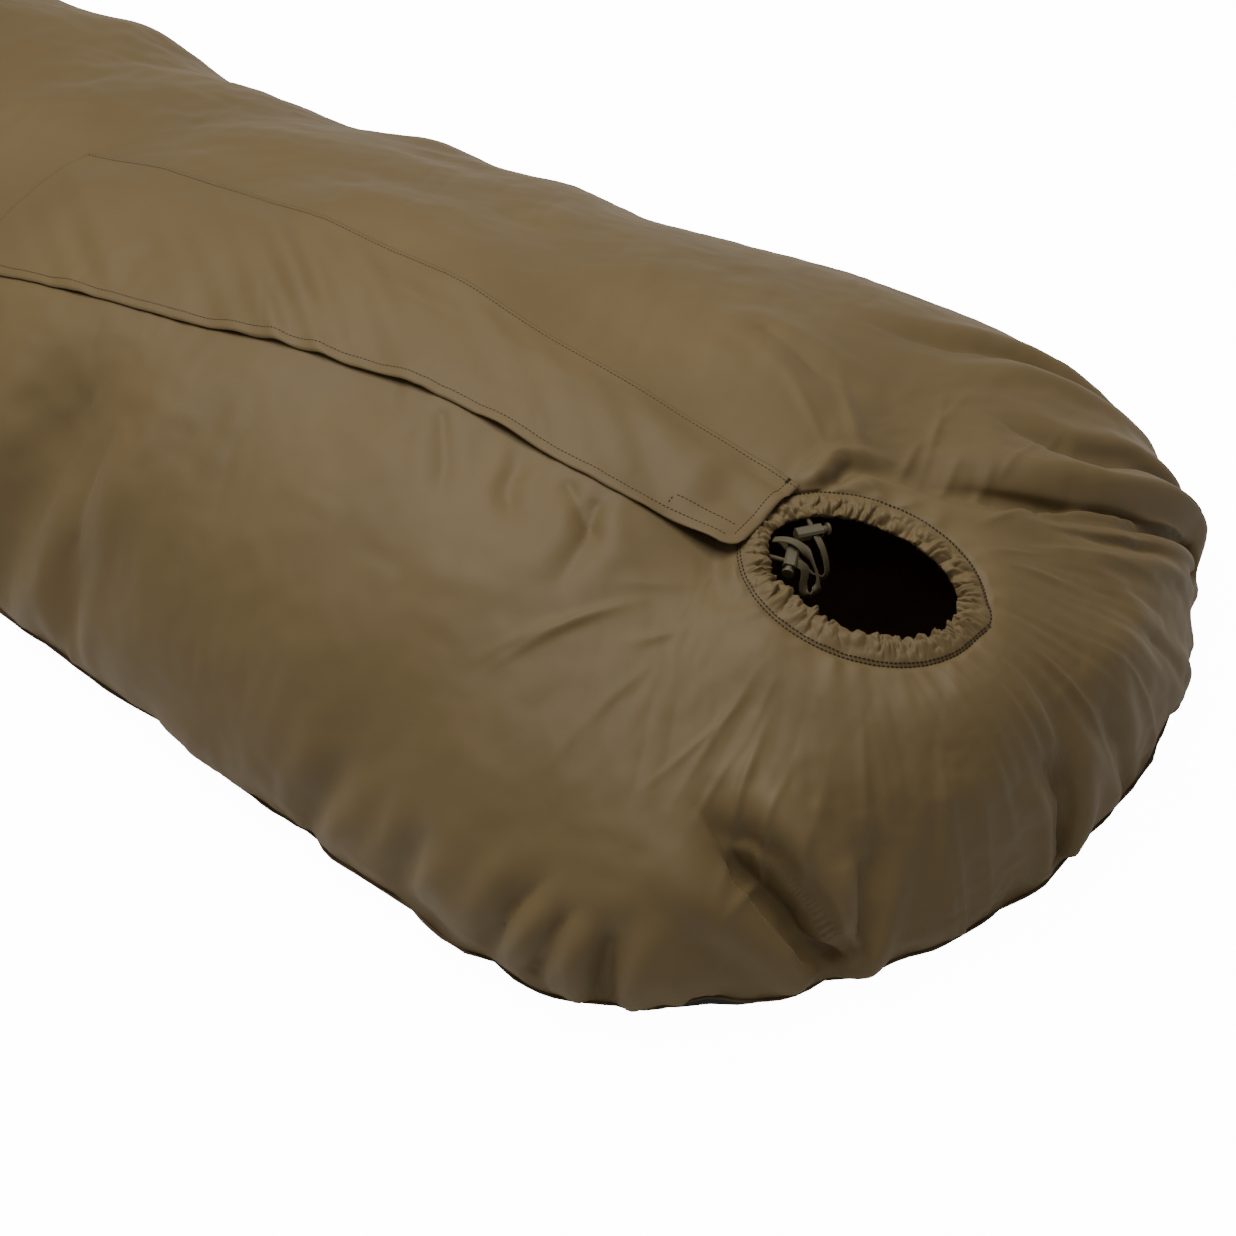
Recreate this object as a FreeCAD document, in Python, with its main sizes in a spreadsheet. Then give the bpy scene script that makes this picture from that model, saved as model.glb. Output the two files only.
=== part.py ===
import FreeCAD, Part
import math
import os
import Sketcher
from FreeCAD import Placement, Rotation, Vector

# Bivy sack lying on the ground, loosely filled. Millimetres. +X points to the head end, +Z up, and the
# origin is on the ground at the middle of the bag's length and width. The zip runs along the crest of
# the upper shell, a little to the near (-Y) side, and ends at the gathered face opening.

doc = FreeCAD.newDocument("bivy_sack")
sheet = doc.addObject("Spreadsheet::Sheet", "Sizes")

DRIVING = {
    # upper shell and floor
    "shell_gauge": 2.4, "shell_foot": 2.4, "floor_gauge": 1.6, "floor_margin": 4.0,
    "binding_gap": 1.4, "binding_width": 2.6, "binding_rise": 0.6, "binding_depth": 6.0,
    "zip_line": -50.0, "sections": 50.0, "arc_from": 165.0, "arc_to": 800.0,
    # crest over the zip: an arc about a line along Y, far below the ground
    "crest_radius": 1320.0, "crest_top": 240.0, "crest_middle": 540.0, "crown_radius": 560.0,
    # the far flank's slackness: where across the bag it starts, over what width, and how much
    "slack_from": 20.0, "slack_width": 200.0, "slack_head": 0.08, "slack_chest": 0.17,
    # zip, all in degrees of the crest arc or in radial heights below and above the shell
    "zip_foot_angle": -15.0, "zip_head_angle": 13.0, "slider_angle": 11.9,
    "tape_width": 15.0, "tape_gauge": 0.8, "tape_depth": 4.1, "coil_width": 2.5, "coil_height": 2.2,
    "coil_gap": 0.7, "stop_length": 3.0,
    # slider and its two pulls
    "slider_length": 12.0, "slider_width": 8.4, "plate_gauge": 1.4, "post_gauge": 0.8, "lug_height": 3.2,
    "lug_width": 3.0, "pull_bore": 1.9, "pull_pin": 1.5, "pull_length": 14.0, "pull_width": 6.0,
    "pull_gauge": 1.4,
    # storm flap
    "flap_gauge": 1.2, "flap_rise": 7.5, "flap_over": 3.6, "flap_far": 32.0, "flap_near": 62.0,
    "flap_end_near": 44.0, "flap_foot_angle": -16.3, "flap_split_angle": 9.2, "flap_head_angle": 13.6,
    "flap_corner": 14.0, "patch_gauge": 0.9, "facing_gauge": 0.6,
    # face opening, in its own tilted plane
    "face_x": 930.0, "face_z": 182.5, "face_tilt": 12.0, "face_turn": 15.0, "face_shift": -2.5,
    "hole_long": 71.0, "hole_short": 49.0, "casing_long": 91.0, "casing_short": 74.0,
    "casing_height": 6.4, "casing_wall": 1.1, "casing_gap": 1.5, "eyelet_width": 8.0,
    # drawcord and cord locks
    "cord": 3.2, "lock_length": 20.0, "lock_width": 9.2, "lock_height": 8.0, "lock_slot": 14.5,
    "slot_length": 8.4, "slot_height": 3.8, "bore": 6.0, "bore_floor": 2.6, "stem": 5.6,
    "stem_start": 8.0, "stem_out": 4.0, "press": 3.0, "flange": 8.8, "flange_gauge": 2.0,
    "spring_wire": 0.5, "spring_outside": 5.2, "spring_turns": 4.0, "spring_bends": 6.0,
}

# stations of the shell from foot to head: distance along X, half width, crest height (0 on the zip's
# crest arc), share of the zip line's offset that the crest has, half gap between the two panels
STATIONS = [
    (-1121.0, 30.0, 22.0, 0.0, 0.8), (-1112.0, 92.0, 52.0, 0.3, 0.8), (-1088.0, 142.0, 86.0, 0.6, 0.8),
    (-1045.0, 184.0, 116.0, 0.8, 0.8), (-970.0, 217.0, 142.0, 1.0, 0.8), (-800.0, 241.0, 160.0, 1.0, 0.8),
    (-500.0, 262.0, 166.0, 1.0, 0.8), (-200.0, 280.0, 170.0, 1.0, 1.2), (0.0, 290.0, 172.0, 1.0, 3.0),
    (90.0, 295.0, 175.0, 1.0, 6.0), (165.0, 300.0, 0.0, 1.0, 7.5), (260.0, 306.0, 0.0, 1.0, 8.0),
    (380.0, 316.0, 0.0, 1.0, 8.0), (540.0, 338.0, 0.0, 1.0, 8.0), (680.0, 361.0, 0.0, 1.0, 8.0),
    (800.0, 375.0, 0.0, 1.0, 8.0), (870.0, 376.0, 198.0, 1.0, 7.0), (935.0, 354.0, 183.0, 1.0, 5.0),
    (985.0, 320.0, 170.0, 0.9, 3.0), (1035.0, 264.0, 150.0, 0.8, 1.2), (1075.0, 204.0, 122.0, 0.6, 0.8),
    (1102.0, 140.0, 88.0, 0.3, 0.8), (1116.0, 78.0, 52.0, 0.1, 0.8), (1121.0, 30.0, 22.0, 0.0, 0.8),
]

# free loops of the flat drawcord, from the cord lock's inner face on, in the face opening's plane:
# along it to the head, across it to the far side, and above it
LOOP_A = [
    (-43.7, 6.85, 0.0), (-37.5, 4.5, -4.0), (-32.0, 2.5, -10.5), (-28.5, 0.5, -17.0),
    (-30.5, -3.5, -21.5), (-38.5, -5.0, -19.5), (-48.5, -6.0, -14.5), (-59.0, -7.5, -9.5),
    (-67.5, -8.8, -3.5),
]
LOOP_B = [
    (-39.85, -19.1, 0.0), (-36.2, -21.0, -5.5), (-34.3, -24.5, -11.5), (-30.5, -27.0, -17.0),
    (-26.0, -23.5, -18.0), (-24.8, -18.5, -12.0), (-29.5, -15.0, -4.5), (-37.5, -12.8, 2.0),
    (-46.5, -11.5, 6.8), (-56.0, -12.0, 7.6), (-64.5, -13.5, 4.2), (-69.3, -15.2, 0.5),
]
LOCK_A = ((-60.0, 0.0), (0.535, 0.845), 1)      # closed end, direction of the plunger, side of the loop
LOCK_B = ((-55.0, -10.0), (0.410, -0.912), -1)


class Size:
    """A number that remembers the sheet expression it came from."""

    def __init__(self, value, text):
        self.value = value
        self.text = text

    def joined(self, other, sign, value):
        right = other.text if isinstance(other, Size) else repr(float(other))
        return Size(value, "(" + self.text + " " + sign + " " + right + ")")

    def __add__(self, other):
        return self.joined(other, "+", self.value + number(other))

    def __sub__(self, other):
        return self.joined(other, "-", self.value - number(other))

    def __mul__(self, other):
        return self.joined(other, "*", self.value * number(other))

    def __truediv__(self, other):
        return self.joined(other, "/", self.value / number(other))

    def __neg__(self):
        return self * -1.0


def number(size):
    return size.value if isinstance(size, Size) else float(size)


def fill_sheet():
    row = 1
    cells = dict(DRIVING)
    for index, station in enumerate(STATIONS):
        for name, value in zip(("along", "half", "crest", "share", "gap"), station):
            cells["station_%s_%s" % (chr(97 + index), name)] = value
    for name, value in cells.items():
        sheet.set("A%d" % row, name)
        sheet.set("B%d" % row, str(value))
        sheet.setAlias("B%d" % row, name)
        row += 1
    doc.recompute()
    return {name: Size(float(sheet.get(name)), "Sizes." + name) for name in cells}


SIZE = fill_sheet()


def size(name):
    return SIZE[name]


def plain(name):
    return SIZE[name].value


def bind(feature, prop, value):
    """Set a property to a size, and keep it bound to the sheet."""
    setattr(feature, prop, number(value))
    if isinstance(value, Size):
        feature.setExpression(prop, value.text)


# ---------------------------------------------------------------- building helpers

SUBPARTS = []


def keep(feature, label):
    feature.Label = label
    SUBPARTS.append(feature)
    return feature


def new_body(label):
    return keep(doc.addObject("PartDesign::Body", label), label)


def new_sketch(body, role, name, offset=None):
    plane = [item for item in body.Origin.OriginFeatures if item.Role == role][0]
    sketch = body.newObject("Sketcher::SketchObject", name)
    sketch.AttachmentSupport = [(plane, "")]
    sketch.MapMode = "FlatFace"
    if offset is not None:
        sketch.AttachmentOffset = Placement(Vector(0, 0, number(offset)), Rotation())
        if isinstance(offset, Size):
            sketch.setExpression("AttachmentOffset.Base.z", offset.text)
    return sketch


def outline(sketch, corners):
    """A closed polyline whose corners are bound to the sheet."""
    places = [Vector(number(x), number(y), 0) for x, y in corners]
    count = len(places)
    first = sketch.GeometryCount
    for index in range(count):
        sketch.addGeometry(Part.LineSegment(places[index], places[(index + 1) % count]), False)
    for index in range(count):
        after = first + (index + 1) % count
        sketch.addConstraint(Sketcher.Constraint("Coincident", first + index, 2, after, 1))
    for index, (x, y) in enumerate(corners):
        for kind, place in (("DistanceX", x), ("DistanceY", y)):
            made = sketch.addConstraint(
                Sketcher.Constraint(kind, -1, 1, first + index, 1, number(place)))
            if isinstance(place, Size):
                sketch.setExpression("Constraints[%d]" % made, place.text)


def rectangle(sketch, low, high):
    outline(sketch, [(low[0], low[1]), (high[0], low[1]), (high[0], high[1]), (low[0], high[1])])


def circle(sketch, centre, radius):
    place = Vector(number(centre[0]), number(centre[1]), 0)
    ring = sketch.addGeometry(Part.Circle(place, Vector(0, 0, 1), number(radius)), False)
    made = sketch.addConstraint(Sketcher.Constraint("Radius", ring, number(radius)))
    if isinstance(radius, Size):
        sketch.setExpression("Constraints[%d]" % made, radius.text)
    for kind, value in (("DistanceX", centre[0]), ("DistanceY", centre[1])):
        made = sketch.addConstraint(Sketcher.Constraint(kind, -1, 1, ring, 3, number(value)))
        if isinstance(value, Size):
            sketch.setExpression("Constraints[%d]" % made, value.text)


def pad(body, sketch, length, both_ways=False, backwards=False):
    feature = body.newObject("PartDesign::Pad", "Pad")
    feature.Profile = sketch
    bind(feature, "Length", length)
    feature.Midplane = both_ways
    feature.Reversed = backwards
    body.Tip = feature
    return feature


def pocket(body, sketch, length, both_ways=False, backwards=False):
    """Cut a sketch into the body, and make sure that it does cut."""
    doc.recompute()
    before = body.Shape.Volume
    feature = body.newObject("PartDesign::Pocket", "Pocket")
    feature.Profile = sketch
    bind(feature, "Length", length)
    feature.Midplane = both_ways
    feature.Reversed = backwards
    body.Tip = feature
    doc.recompute()
    if body.Shape.Volume > before - 0.01:
        raise RuntimeError("pocket cuts nothing in " + body.Label)
    return feature


# ---------------------------------------------------------------- the zip's crest arc

def crest_pivot():
    """A point on the line along Y that the crest arc turns about."""
    return Vector(plain("crest_middle"), 0.0, plain("crest_top") - plain("crest_radius"))


def arc_height(x):
    away = x - plain("crest_middle")
    return crest_pivot().z + math.sqrt(plain("crest_radius") ** 2 - away ** 2)


def arc_turn(angle):
    """Turn about +Y that carries the top of the arc to an angle towards the head."""
    return Rotation(Vector(0, 1, 0), angle)


def arc_place(angle, across, above):
    """A place over the shell: angle along the arc, distance across it, height above the shell."""
    reach = Vector(0, plain("zip_line") + across, plain("crest_radius") + above)
    return Placement(crest_pivot() + arc_turn(angle).multVec(reach), arc_turn(angle))


def drop(across):
    """How far the shell has fallen below its crest at a distance across it."""
    return across * across / (size("crown_radius") * 2.0)


def swept_strip(label, corners, start, end):
    """A strip with the given section, swept along the crest arc between two angles.

    A corner is (distance across from the zip line, height above the shell)."""
    body = new_body(label)
    sketch = new_sketch(body, "YZ_Plane", label + "_section")
    outline(sketch, [(size("zip_line") + across, size("crest_radius") + above)
                     for across, above in corners])
    turn = body.newObject("PartDesign::Revolution", label + "_turn")
    turn.Profile = sketch
    turn.ReferenceAxis = (sketch, ["H_Axis"])
    bind(turn, "Angle", end - start)
    body.Tip = turn
    body.Placement = Placement(crest_pivot(), arc_turn(number(start)))
    return body


def sized(value):
    """A plain figure as a Size, so that it adds to bound ones."""
    return Size(float(value), repr(float(value)))


def mirrored_across(corners, side):
    return [(across * float(side), above) for across, above in corners]


# ---------------------------------------------------------------- shell, floor and binding

def key_stations():
    for index in range(len(STATIONS)):
        key = "station_%s_" % chr(97 + index)
        along, crest = plain(key + "along"), plain(key + "crest")
        yield (along, plain(key + "half"), crest or arc_height(along),
               plain("zip_line") * plain(key + "share"), plain(key + "gap"))


def station_sizes():
    """Evenly spaced stations on smooth curves through the key ones."""
    keys = list(key_stations())
    shape, middle = Part.BSplineCurve(), Part.BSplineCurve()
    corners = [Vector(along, half, crest) for along, half, crest, middle_y, gap in keys]
    shape.interpolate(corners)
    knots = [shape.parameter(corner) for corner in corners]
    middle.interpolate([Vector(along, middle_y, gap) for along, half, crest, middle_y, gap in keys],
                       Parameters=knots)
    edge = shape.toShape()
    count = int(plain("sections"))
    first, last = plain("arc_from"), plain("arc_to")
    for step in range(count):
        knot = edge.getParameterByLength(edge.Length * step / (count - 1.0))
        place, offset = shape.value(knot), middle.value(knot)
        crest = arc_height(place.x) if first < place.x < last else place.z
        yield place.x, place.y, crest, offset.y, offset.z


def ease(share):
    """A step from 0 to 1 with level ends."""
    share = min(max(share, 0.0), 1.0)
    return share * share * (3.0 - 2.0 * share)


def slack(along, across):
    """The share of its full height that the shell has: the far flank is slacker than the near one."""
    across_share = ease((across - plain("slack_from")) / plain("slack_width"))
    head = plain("slack_head") * ease((along + 100.0) / 400.0)
    chest = plain("slack_chest") * ease((780.0 - along) / 330.0) * ease((along + 150.0) / 400.0)
    return 1.0 - across_share * (head + chest)


def panel_section(station, side):
    """The thin closed section of one shell panel: from the ground up to the zip's gap."""
    along, half, crest, middle, gap = station
    gauge, foot = plain("shell_gauge"), plain("shell_foot")
    reach, rise = half + middle * -side, crest - foot
    edges = []
    ends = []
    for less in (0.0, gauge):
        wide, tall = reach - less, rise - less
        upper = math.acos(gap / wide)
        points = []
        for step in range(19):
            angle = upper * step / 18.0
            across = middle + side * wide * math.cos(angle)
            points.append(Vector(along, across, foot + tall * math.sin(angle) * slack(along, across)))
        curve = Part.BSplineCurve()
        curve.interpolate(points)
        edges.append(curve.toShape())
        ends.append((points[0], points[-1]))
    low = Part.makeLine(ends[1][0], ends[0][0])
    high = Part.makeLine(ends[0][1], ends[1][1])
    return Part.Wire([edges[0], high, edges[1], low])


def face_placement():
    tilt = Rotation(Vector(0, 1, 0), plain("face_tilt"))
    return Placement(Vector(plain("face_x"), plain("zip_line"), plain("face_z")), tilt)


def face_oval(long_half, short_half, low, high):
    """A slab of oval outline in the face opening's plane, between two heights over it."""
    centre = Vector(plain("face_shift"), 0, low)
    turn = Rotation(Vector(0, 0, 1), plain("face_turn"))
    oval = Part.Ellipse(Vector(), long_half, short_half)
    face = Part.Face(Part.Wire([oval.toShape()]))
    face.Placement = Placement(centre, turn)
    slab = face.extrude(Vector(0, 0, high - low))
    slab.Placement = face_placement().multiply(slab.Placement)
    return slab


def add_shape(label, shape):
    feature = keep(doc.addObject("Part::Feature", label), label)
    feature.Shape = shape
    return feature


def shell_panel(label, side):
    wires = [panel_section(station, side) for station in station_sizes()]
    panel = Part.makeLoft(wires, True, False)
    gap = plain("casing_gap")
    cutter = face_oval(plain("casing_long") + gap, plain("casing_short") + gap, -60.0, 60.0)
    return add_shape(label, panel.cut(cutter))


def closed_curve(points):
    curve = Part.BSplineCurve()
    curve.interpolate(points, PeriodicFlag=True)
    return curve


def ground_outline(outward):
    """The bag's outline on the ground, through the stations' half widths, moved outward."""
    near = [Vector(station[0], -station[1], 0) for station in station_sizes()]
    far = [Vector(place.x, -place.y, 0) for place in reversed(near)]
    tip = Vector(near[-1].x + 1.5, 0, 0)
    toe = Vector(near[0].x - 1.5, 0, 0)
    points = [toe] + near + [tip] + far
    curve = closed_curve(points)
    moved = []
    for point in points:
        along = curve.tangent(curve.parameter(point))[0]
        moved.append(point + Vector(along.y, -along.x, 0) * outward)
    return Part.Wire([closed_curve(moved).toShape()])


def floor_sheet():
    sheet_face = Part.Face(ground_outline(-plain("floor_margin")))
    return add_shape("floor_sheet", sheet_face.extrude(Vector(0, 0, plain("floor_gauge"))))


def perimeter_binding():
    """A tape round the seam between the shell and the floor sheet."""
    inner = Part.Face(ground_outline(plain("binding_gap")))
    outer = Part.Face(ground_outline(plain("binding_gap") + plain("binding_width")))
    up = Vector(0, 0, plain("binding_depth"))
    tape = outer.extrude(up).cut(inner.extrude(up))
    tape.translate(Vector(0, 0, plain("binding_rise")))
    return add_shape("perimeter_binding", tape.Solids[0])


# ---------------------------------------------------------------- zip

def zip_tape(label, side):
    inner, outer = size("coil_gap"), size("coil_gap") + size("tape_width")
    low, high = -size("tape_depth"), size("tape_gauge") - size("tape_depth")
    corners = mirrored_across([(inner, low), (outer, low), (outer, high), (inner, high)], side)
    return swept_strip(label, corners, size("zip_foot_angle"), size("zip_head_angle"))


def zip_coil(label, side):
    inner, outer = size("coil_gap"), size("coil_gap") + size("coil_width")
    low = size("tape_gauge") - size("tape_depth") + 0.05
    high = low + size("coil_height")
    corners = mirrored_across([(inner, low), (outer, low), (outer, high), (inner, high)], side)
    stop = size("stop_length") / size("crest_radius") * 57.29578
    return swept_strip(label, corners, size("zip_foot_angle") + stop + 0.02,
                       size("zip_head_angle") - stop - 0.02)


def zip_stop(label, side, reach_in, at_head):
    low = size("tape_gauge") - size("tape_depth") + 0.05
    high = low + size("coil_height") + 0.3
    outer = size("coil_gap") + size("coil_width") + 0.3
    length = size("stop_length") / size("crest_radius") * 57.29578
    corners = mirrored_across([(reach_in, low), (outer, low), (outer, high), (reach_in, high)], side)
    if at_head:
        return swept_strip(label, corners, size("zip_head_angle") - length, size("zip_head_angle"))
    return swept_strip(label, corners, size("zip_foot_angle"), size("zip_foot_angle") + length)


def zip_slider():
    """Top and bottom plates on a thin post between the coils, with a lug above and one below."""
    body = new_body("zip_slider_body")
    half, wide = size("slider_length") / 2.0, size("slider_width") / 2.0
    coil_top = size("tape_gauge") - size("tape_depth") + size("coil_height") + 0.05
    top_low = coil_top + 0.45
    bottom_high = -size("tape_depth") - 0.4
    for name, low in (("top", top_low), ("bottom", bottom_high - size("plate_gauge"))):
        sketch = new_sketch(body, "XY_Plane", "slider_" + name, low)
        nose = half * 0.45
        outline(sketch, [(-half, -wide * 0.8), (nose, -wide), (half, -wide * 0.55),
                         (half, wide * 0.55), (nose, wide), (-half, wide * 0.8)])
        pad(body, sketch, size("plate_gauge"))
        if name == "top":
            post = new_sketch(body, "XY_Plane", "slider_post", bottom_high - 0.1)
            rectangle(post, (-half * 0.1, -size("post_gauge") / 2.0),
                      (half * 0.8, size("post_gauge") / 2.0))
            pad(body, post, top_low - bottom_high + 0.2)
    top_high = top_low + size("plate_gauge")
    bottom_low = bottom_high - size("plate_gauge")
    lug = size("lug_height")
    for name, low, high in (("upper", top_high - 0.1, top_high + lug),
                            ("lower", bottom_low - lug, bottom_low + 0.1)):
        sketch = new_sketch(body, "XZ_Plane", "slider_lug_" + name)
        outline(sketch, [(sized(-2.0), low), (sized(2.0), low), (sized(2.0), high), (sized(-2.0), high)])
        pad(body, sketch, size("lug_width"), both_ways=True)
    for name, level in (("upper", top_high + lug * 0.5), ("lower", bottom_low - lug * 0.5)):
        bore = new_sketch(body, "XZ_Plane", "slider_bore_" + name)
        circle(bore, (sized(0.0), level), size("pull_bore") / 2.0)
        pocket(body, bore, size("lug_width") * 2.0, both_ways=True)
    body.Placement = arc_place(plain("slider_angle"), 0.0, 0.0)
    return number(top_high + lug * 0.5), number(bottom_low - lug * 0.5)


def pull_tab(label, placement):
    """A pull: a pin through the slider's lug, two ears beside the lug and a flat grip."""
    body = new_body(label)
    ear_in = size("lug_width") / 2.0 + 0.25
    ear_out = size("pull_width") / 2.0
    tall = size("pull_gauge") / 2.0
    long = size("pull_length")
    grip = new_sketch(body, "XY_Plane", label + "_outline", -tall)
    outline(grip, [(-long, -ear_out * 0.75), (-long * 0.9, -ear_out), (sized(0.9), -ear_out),
                   (sized(0.9), ear_out), (-long * 0.9, ear_out), (-long, ear_out * 0.75)])
    pad(body, grip, size("pull_gauge"))
    window = new_sketch(body, "XY_Plane", label + "_window", -tall)
    rectangle(window, (sized(-4.4), -ear_in), (sized(1.5), ear_in))
    pocket(body, window, size("pull_gauge"), backwards=True)
    pin = new_sketch(body, "XZ_Plane", label + "_pin")
    circle(pin, (sized(0.0), sized(0.0)), size("pull_pin") / 2.0)
    pad(body, pin, ear_out * 2.0, both_ways=True)
    body.Placement = placement
    return body


def zip_parts():
    zip_tape("zip_tape_near", -1)
    zip_tape("zip_tape_far", 1)
    zip_coil("zip_coil_near", -1)
    zip_coil("zip_coil_far", 1)
    zip_stop("zip_top_stop_near", -1, size("coil_gap"), True)
    zip_stop("zip_top_stop_far", 1, size("coil_gap"), True)
    zip_stop("zip_bottom_stop", 1, -(size("coil_gap") + size("coil_width") + 0.3), False)
    upper, lower = zip_slider()
    angle = plain("slider_angle")
    pull_tab("zip_pull_outer", arc_place(angle, 0.0, upper))
    hang = arc_place(angle, 0.0, lower)
    hang.Rotation = Rotation(Vector(0, 1, 0), -90.0)
    pull_tab("zip_pull_inner", hang)


# ---------------------------------------------------------------- storm flap and its patches

def flap_section(near):
    """Sewn on the far side, standing over the zip, and lying back down on the near side."""
    over, gauge = size("flap_over"), size("flap_gauge")
    under = [
        (size("flap_far"), sized(0.9)), (size("flap_far") - 18.0, size("flap_rise")),
        (sized(-10.0), size("flap_rise")), (sized(-20.0), over - drop(sized(20.0))),
        (sized(-20.0) - (near - 20.0) / 2.0, over - drop((near - 20.0) / 2.0 + 20.0)),
        (-near, over - drop(near)),
    ]
    return under + [(across, above + gauge) for across, above in reversed(under)]


def storm_flap():
    swept_strip("storm_flap", flap_section(size("flap_near")), size("flap_foot_angle"),
                size("flap_split_angle") - 0.05)


def storm_flap_end():
    """The flap's last stretch: its near edge runs in to the end, with a cut-off corner."""
    body = swept_strip("storm_flap_end", flap_section(size("flap_near")), size("flap_split_angle"),
                       size("flap_head_angle"))
    arc = math.pi / 180.0 * plain("crest_radius")
    length = (plain("flap_head_angle") - plain("flap_split_angle")) * arc
    taper = new_sketch(body, "XY_Plane", "flap_taper", size("crest_radius") - 30.0)
    line, near, end = size("zip_line"), size("flap_near"), size("flap_end_near")
    corner = size("flap_corner")
    outline(taper, [
        (sized(-1.0), line - near - 1.0), (sized(length + 9.0), line - near - 1.0),
        (sized(length + 9.0), line - end + corner), (sized(length), line - end + corner),
        (sized(length) - corner * 0.35, line - end + corner * 0.3), (sized(length) - corner, line - end),
    ])
    pocket(body, taper, 60.0, backwards=True)
    return body


def cover_strip(label, low, gauge, inner, outer, start, end):
    """A thin strip lying along the near panel, bent to the panel's crown."""
    middle = (inner + outer) / 2.0
    under = [(-across, low - drop(across)) for across in (inner, middle, outer)]
    corners = under + [(across, above + gauge) for across, above in reversed(under)]
    return swept_strip(label, corners, start, end)


def flap_parts():
    storm_flap()
    storm_flap_end()
    facing, patch = size("facing_gauge"), size("patch_gauge")
    above_shell = sized(0.35)
    loop_low = above_shell + facing + 0.15
    hook_low = size("flap_over") - patch - 0.1
    split, head = size("flap_split_angle"), size("flap_head_angle")
    cover_strip("zip_facing", above_shell, facing, sized(14.0), sized(58.0), size("zip_foot_angle"),
                size("zip_head_angle"))
    cover_strip("loop_patch", loop_low, patch, sized(22.0), sized(38.0), split + 0.4, head - 0.7)
    cover_strip("hook_patch", hook_low, patch, sized(22.0), sized(38.0), split + 0.4, head - 0.7)


# ---------------------------------------------------------------- cords

def rounded_route(points):
    """Straight runs joined by tangent arcs, each as large as its two runs allow."""
    pieces = []
    radii = []
    length = 0.0
    here = points[0]
    for before, corner, after in zip(points, points[1:], points[2:]):
        run_in, run_out = corner - before, after - corner
        turn = run_in.getAngle(run_out)
        cut = 0.45 * min(run_in.Length, run_out.Length)
        radius = cut / math.tan(turn / 2.0)
        start = corner - run_in.normalize() * cut
        end = corner + run_out.normalize() * cut
        bisector = (start + end) * 0.5 - corner
        middle = corner + bisector.normalize() * (radius / math.cos(turn / 2.0) - radius)
        pieces.append(Part.LineSegment(here, start).toShape())
        pieces.append(Part.Arc(start, middle, end).toShape())
        radii.append(radius)
        here = end
    pieces.append(Part.LineSegment(here, points[-1]).toShape())
    wire = Part.Wire(pieces)
    for piece in pieces:
        length += piece.Length
    return wire, radii, length


def route_sweep(wire, thickness):
    """A round bar along a wire of runs and arcs."""
    start = wire.Edges[0]
    ring = Part.Wire([Part.Circle(start.valueAt(start.FirstParameter),
                                  start.tangentAt(start.FirstParameter), thickness / 2.0).toShape()])
    return wire.makePipeShell([ring], True, True)


def cord_tube(label, points):
    """A round tube of the flat cord's section area, in the face opening's plane."""
    wire, radii, length = rounded_route([Vector(*point) for point in points])
    tube = route_sweep(wire, plain("cord"))
    expected = math.pi * plain("cord") ** 2 / 4.0 * length
    print("%s: length %.1f, smallest radius %.1f, volume %.1f of %.1f"
          % (label, length, min(radii), tube.Volume, expected))
    tube.Placement = face_placement()
    return add_shape(label, tube)


def lock_points(lock):
    """Where a cord crosses a lock: its inner face, and a place well out on the casing's side."""
    (u, v), (du, dv), side = lock
    slot = plain("lock_slot")
    across = (dv * side, -du * side)
    centre = (u + du * slot, v + dv * slot)
    reach = plain("lock_width") / 2.0
    inner = (centre[0] + across[0] * reach, centre[1] + across[1] * reach, 0.0)
    return inner, centre, across


def casing_turn(angle, long_half, short_half):
    """A point of an oval in the face opening's plane."""
    turn = math.radians(plain("face_turn"))
    x, y = long_half * math.cos(math.radians(angle)), short_half * math.sin(math.radians(angle))
    return (plain("face_shift") + x * math.cos(turn) - y * math.sin(turn),
            x * math.sin(turn) + y * math.cos(turn), 0.0)


def face_drawcord():
    """From lock A out to the casing, round inside it, and back to lock B."""
    long_half, short_half = plain("hole_long") + 7.0, plain("hole_short") + 7.0
    inner_a, centre_a, across_a = lock_points(LOCK_A)
    inner_b, centre_b, across_b = lock_points(LOCK_B)
    corner_a = (centre_a[0] - across_a[0] * 19.0, centre_a[1] - across_a[1] * 19.0, 0.0)
    corner_b = (centre_b[0] - across_b[0] * 22.0, centre_b[1] - across_b[1] * 22.0, 0.0)
    start, end, steps = 121.0, -150.0, 13
    ring = [casing_turn(start + (end - start) * step / steps, long_half, short_half)
            for step in range(steps + 1)]
    return cord_tube("face_drawcord", [inner_a, corner_a] + ring + [corner_b, inner_b])


def face_casing():
    """The gathered tunnel round the opening: a hollow oval ring with an eyelet for each cord end."""
    high, wall = plain("casing_height") / 2.0, plain("casing_wall")
    wide = (plain("casing_long"), plain("casing_short"))
    hole = (plain("hole_long"), plain("hole_short"))
    ring = face_oval(wide[0], wide[1], -high, high).cut(face_oval(hole[0], hole[1], -high - 1, high + 1))
    inner = high - wall
    tunnel = face_oval(wide[0] - wall, wide[1] - wall, -inner, inner)
    tunnel = tunnel.cut(face_oval(hole[0] + wall, hole[1] + wall, -inner - 1, inner + 1))
    ring = ring.cut(tunnel)
    for lock in (LOCK_A, LOCK_B):
        inner_face, centre, across = lock_points(lock)
        direction = Vector(-across[0], -across[1], 0)
        span, tall, reach = plain("eyelet_width"), 2.0 * inner, 16.0
        eyelet = Part.makeBox(reach, span, tall, Vector(0, -span / 2.0, -inner))
        start = Vector(centre[0], centre[1], 0) + direction * (plain("lock_width") / 2.0)
        angle = math.degrees(math.atan2(direction.y, direction.x))
        lie = Placement(start, Rotation(Vector(0, 0, 1), angle))
        eyelet.Placement = face_placement().multiply(lie)
        ring = ring.cut(eyelet)
    return add_shape("face_casing", ring.Solids[0])


# ---------------------------------------------------------------- cord locks

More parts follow.
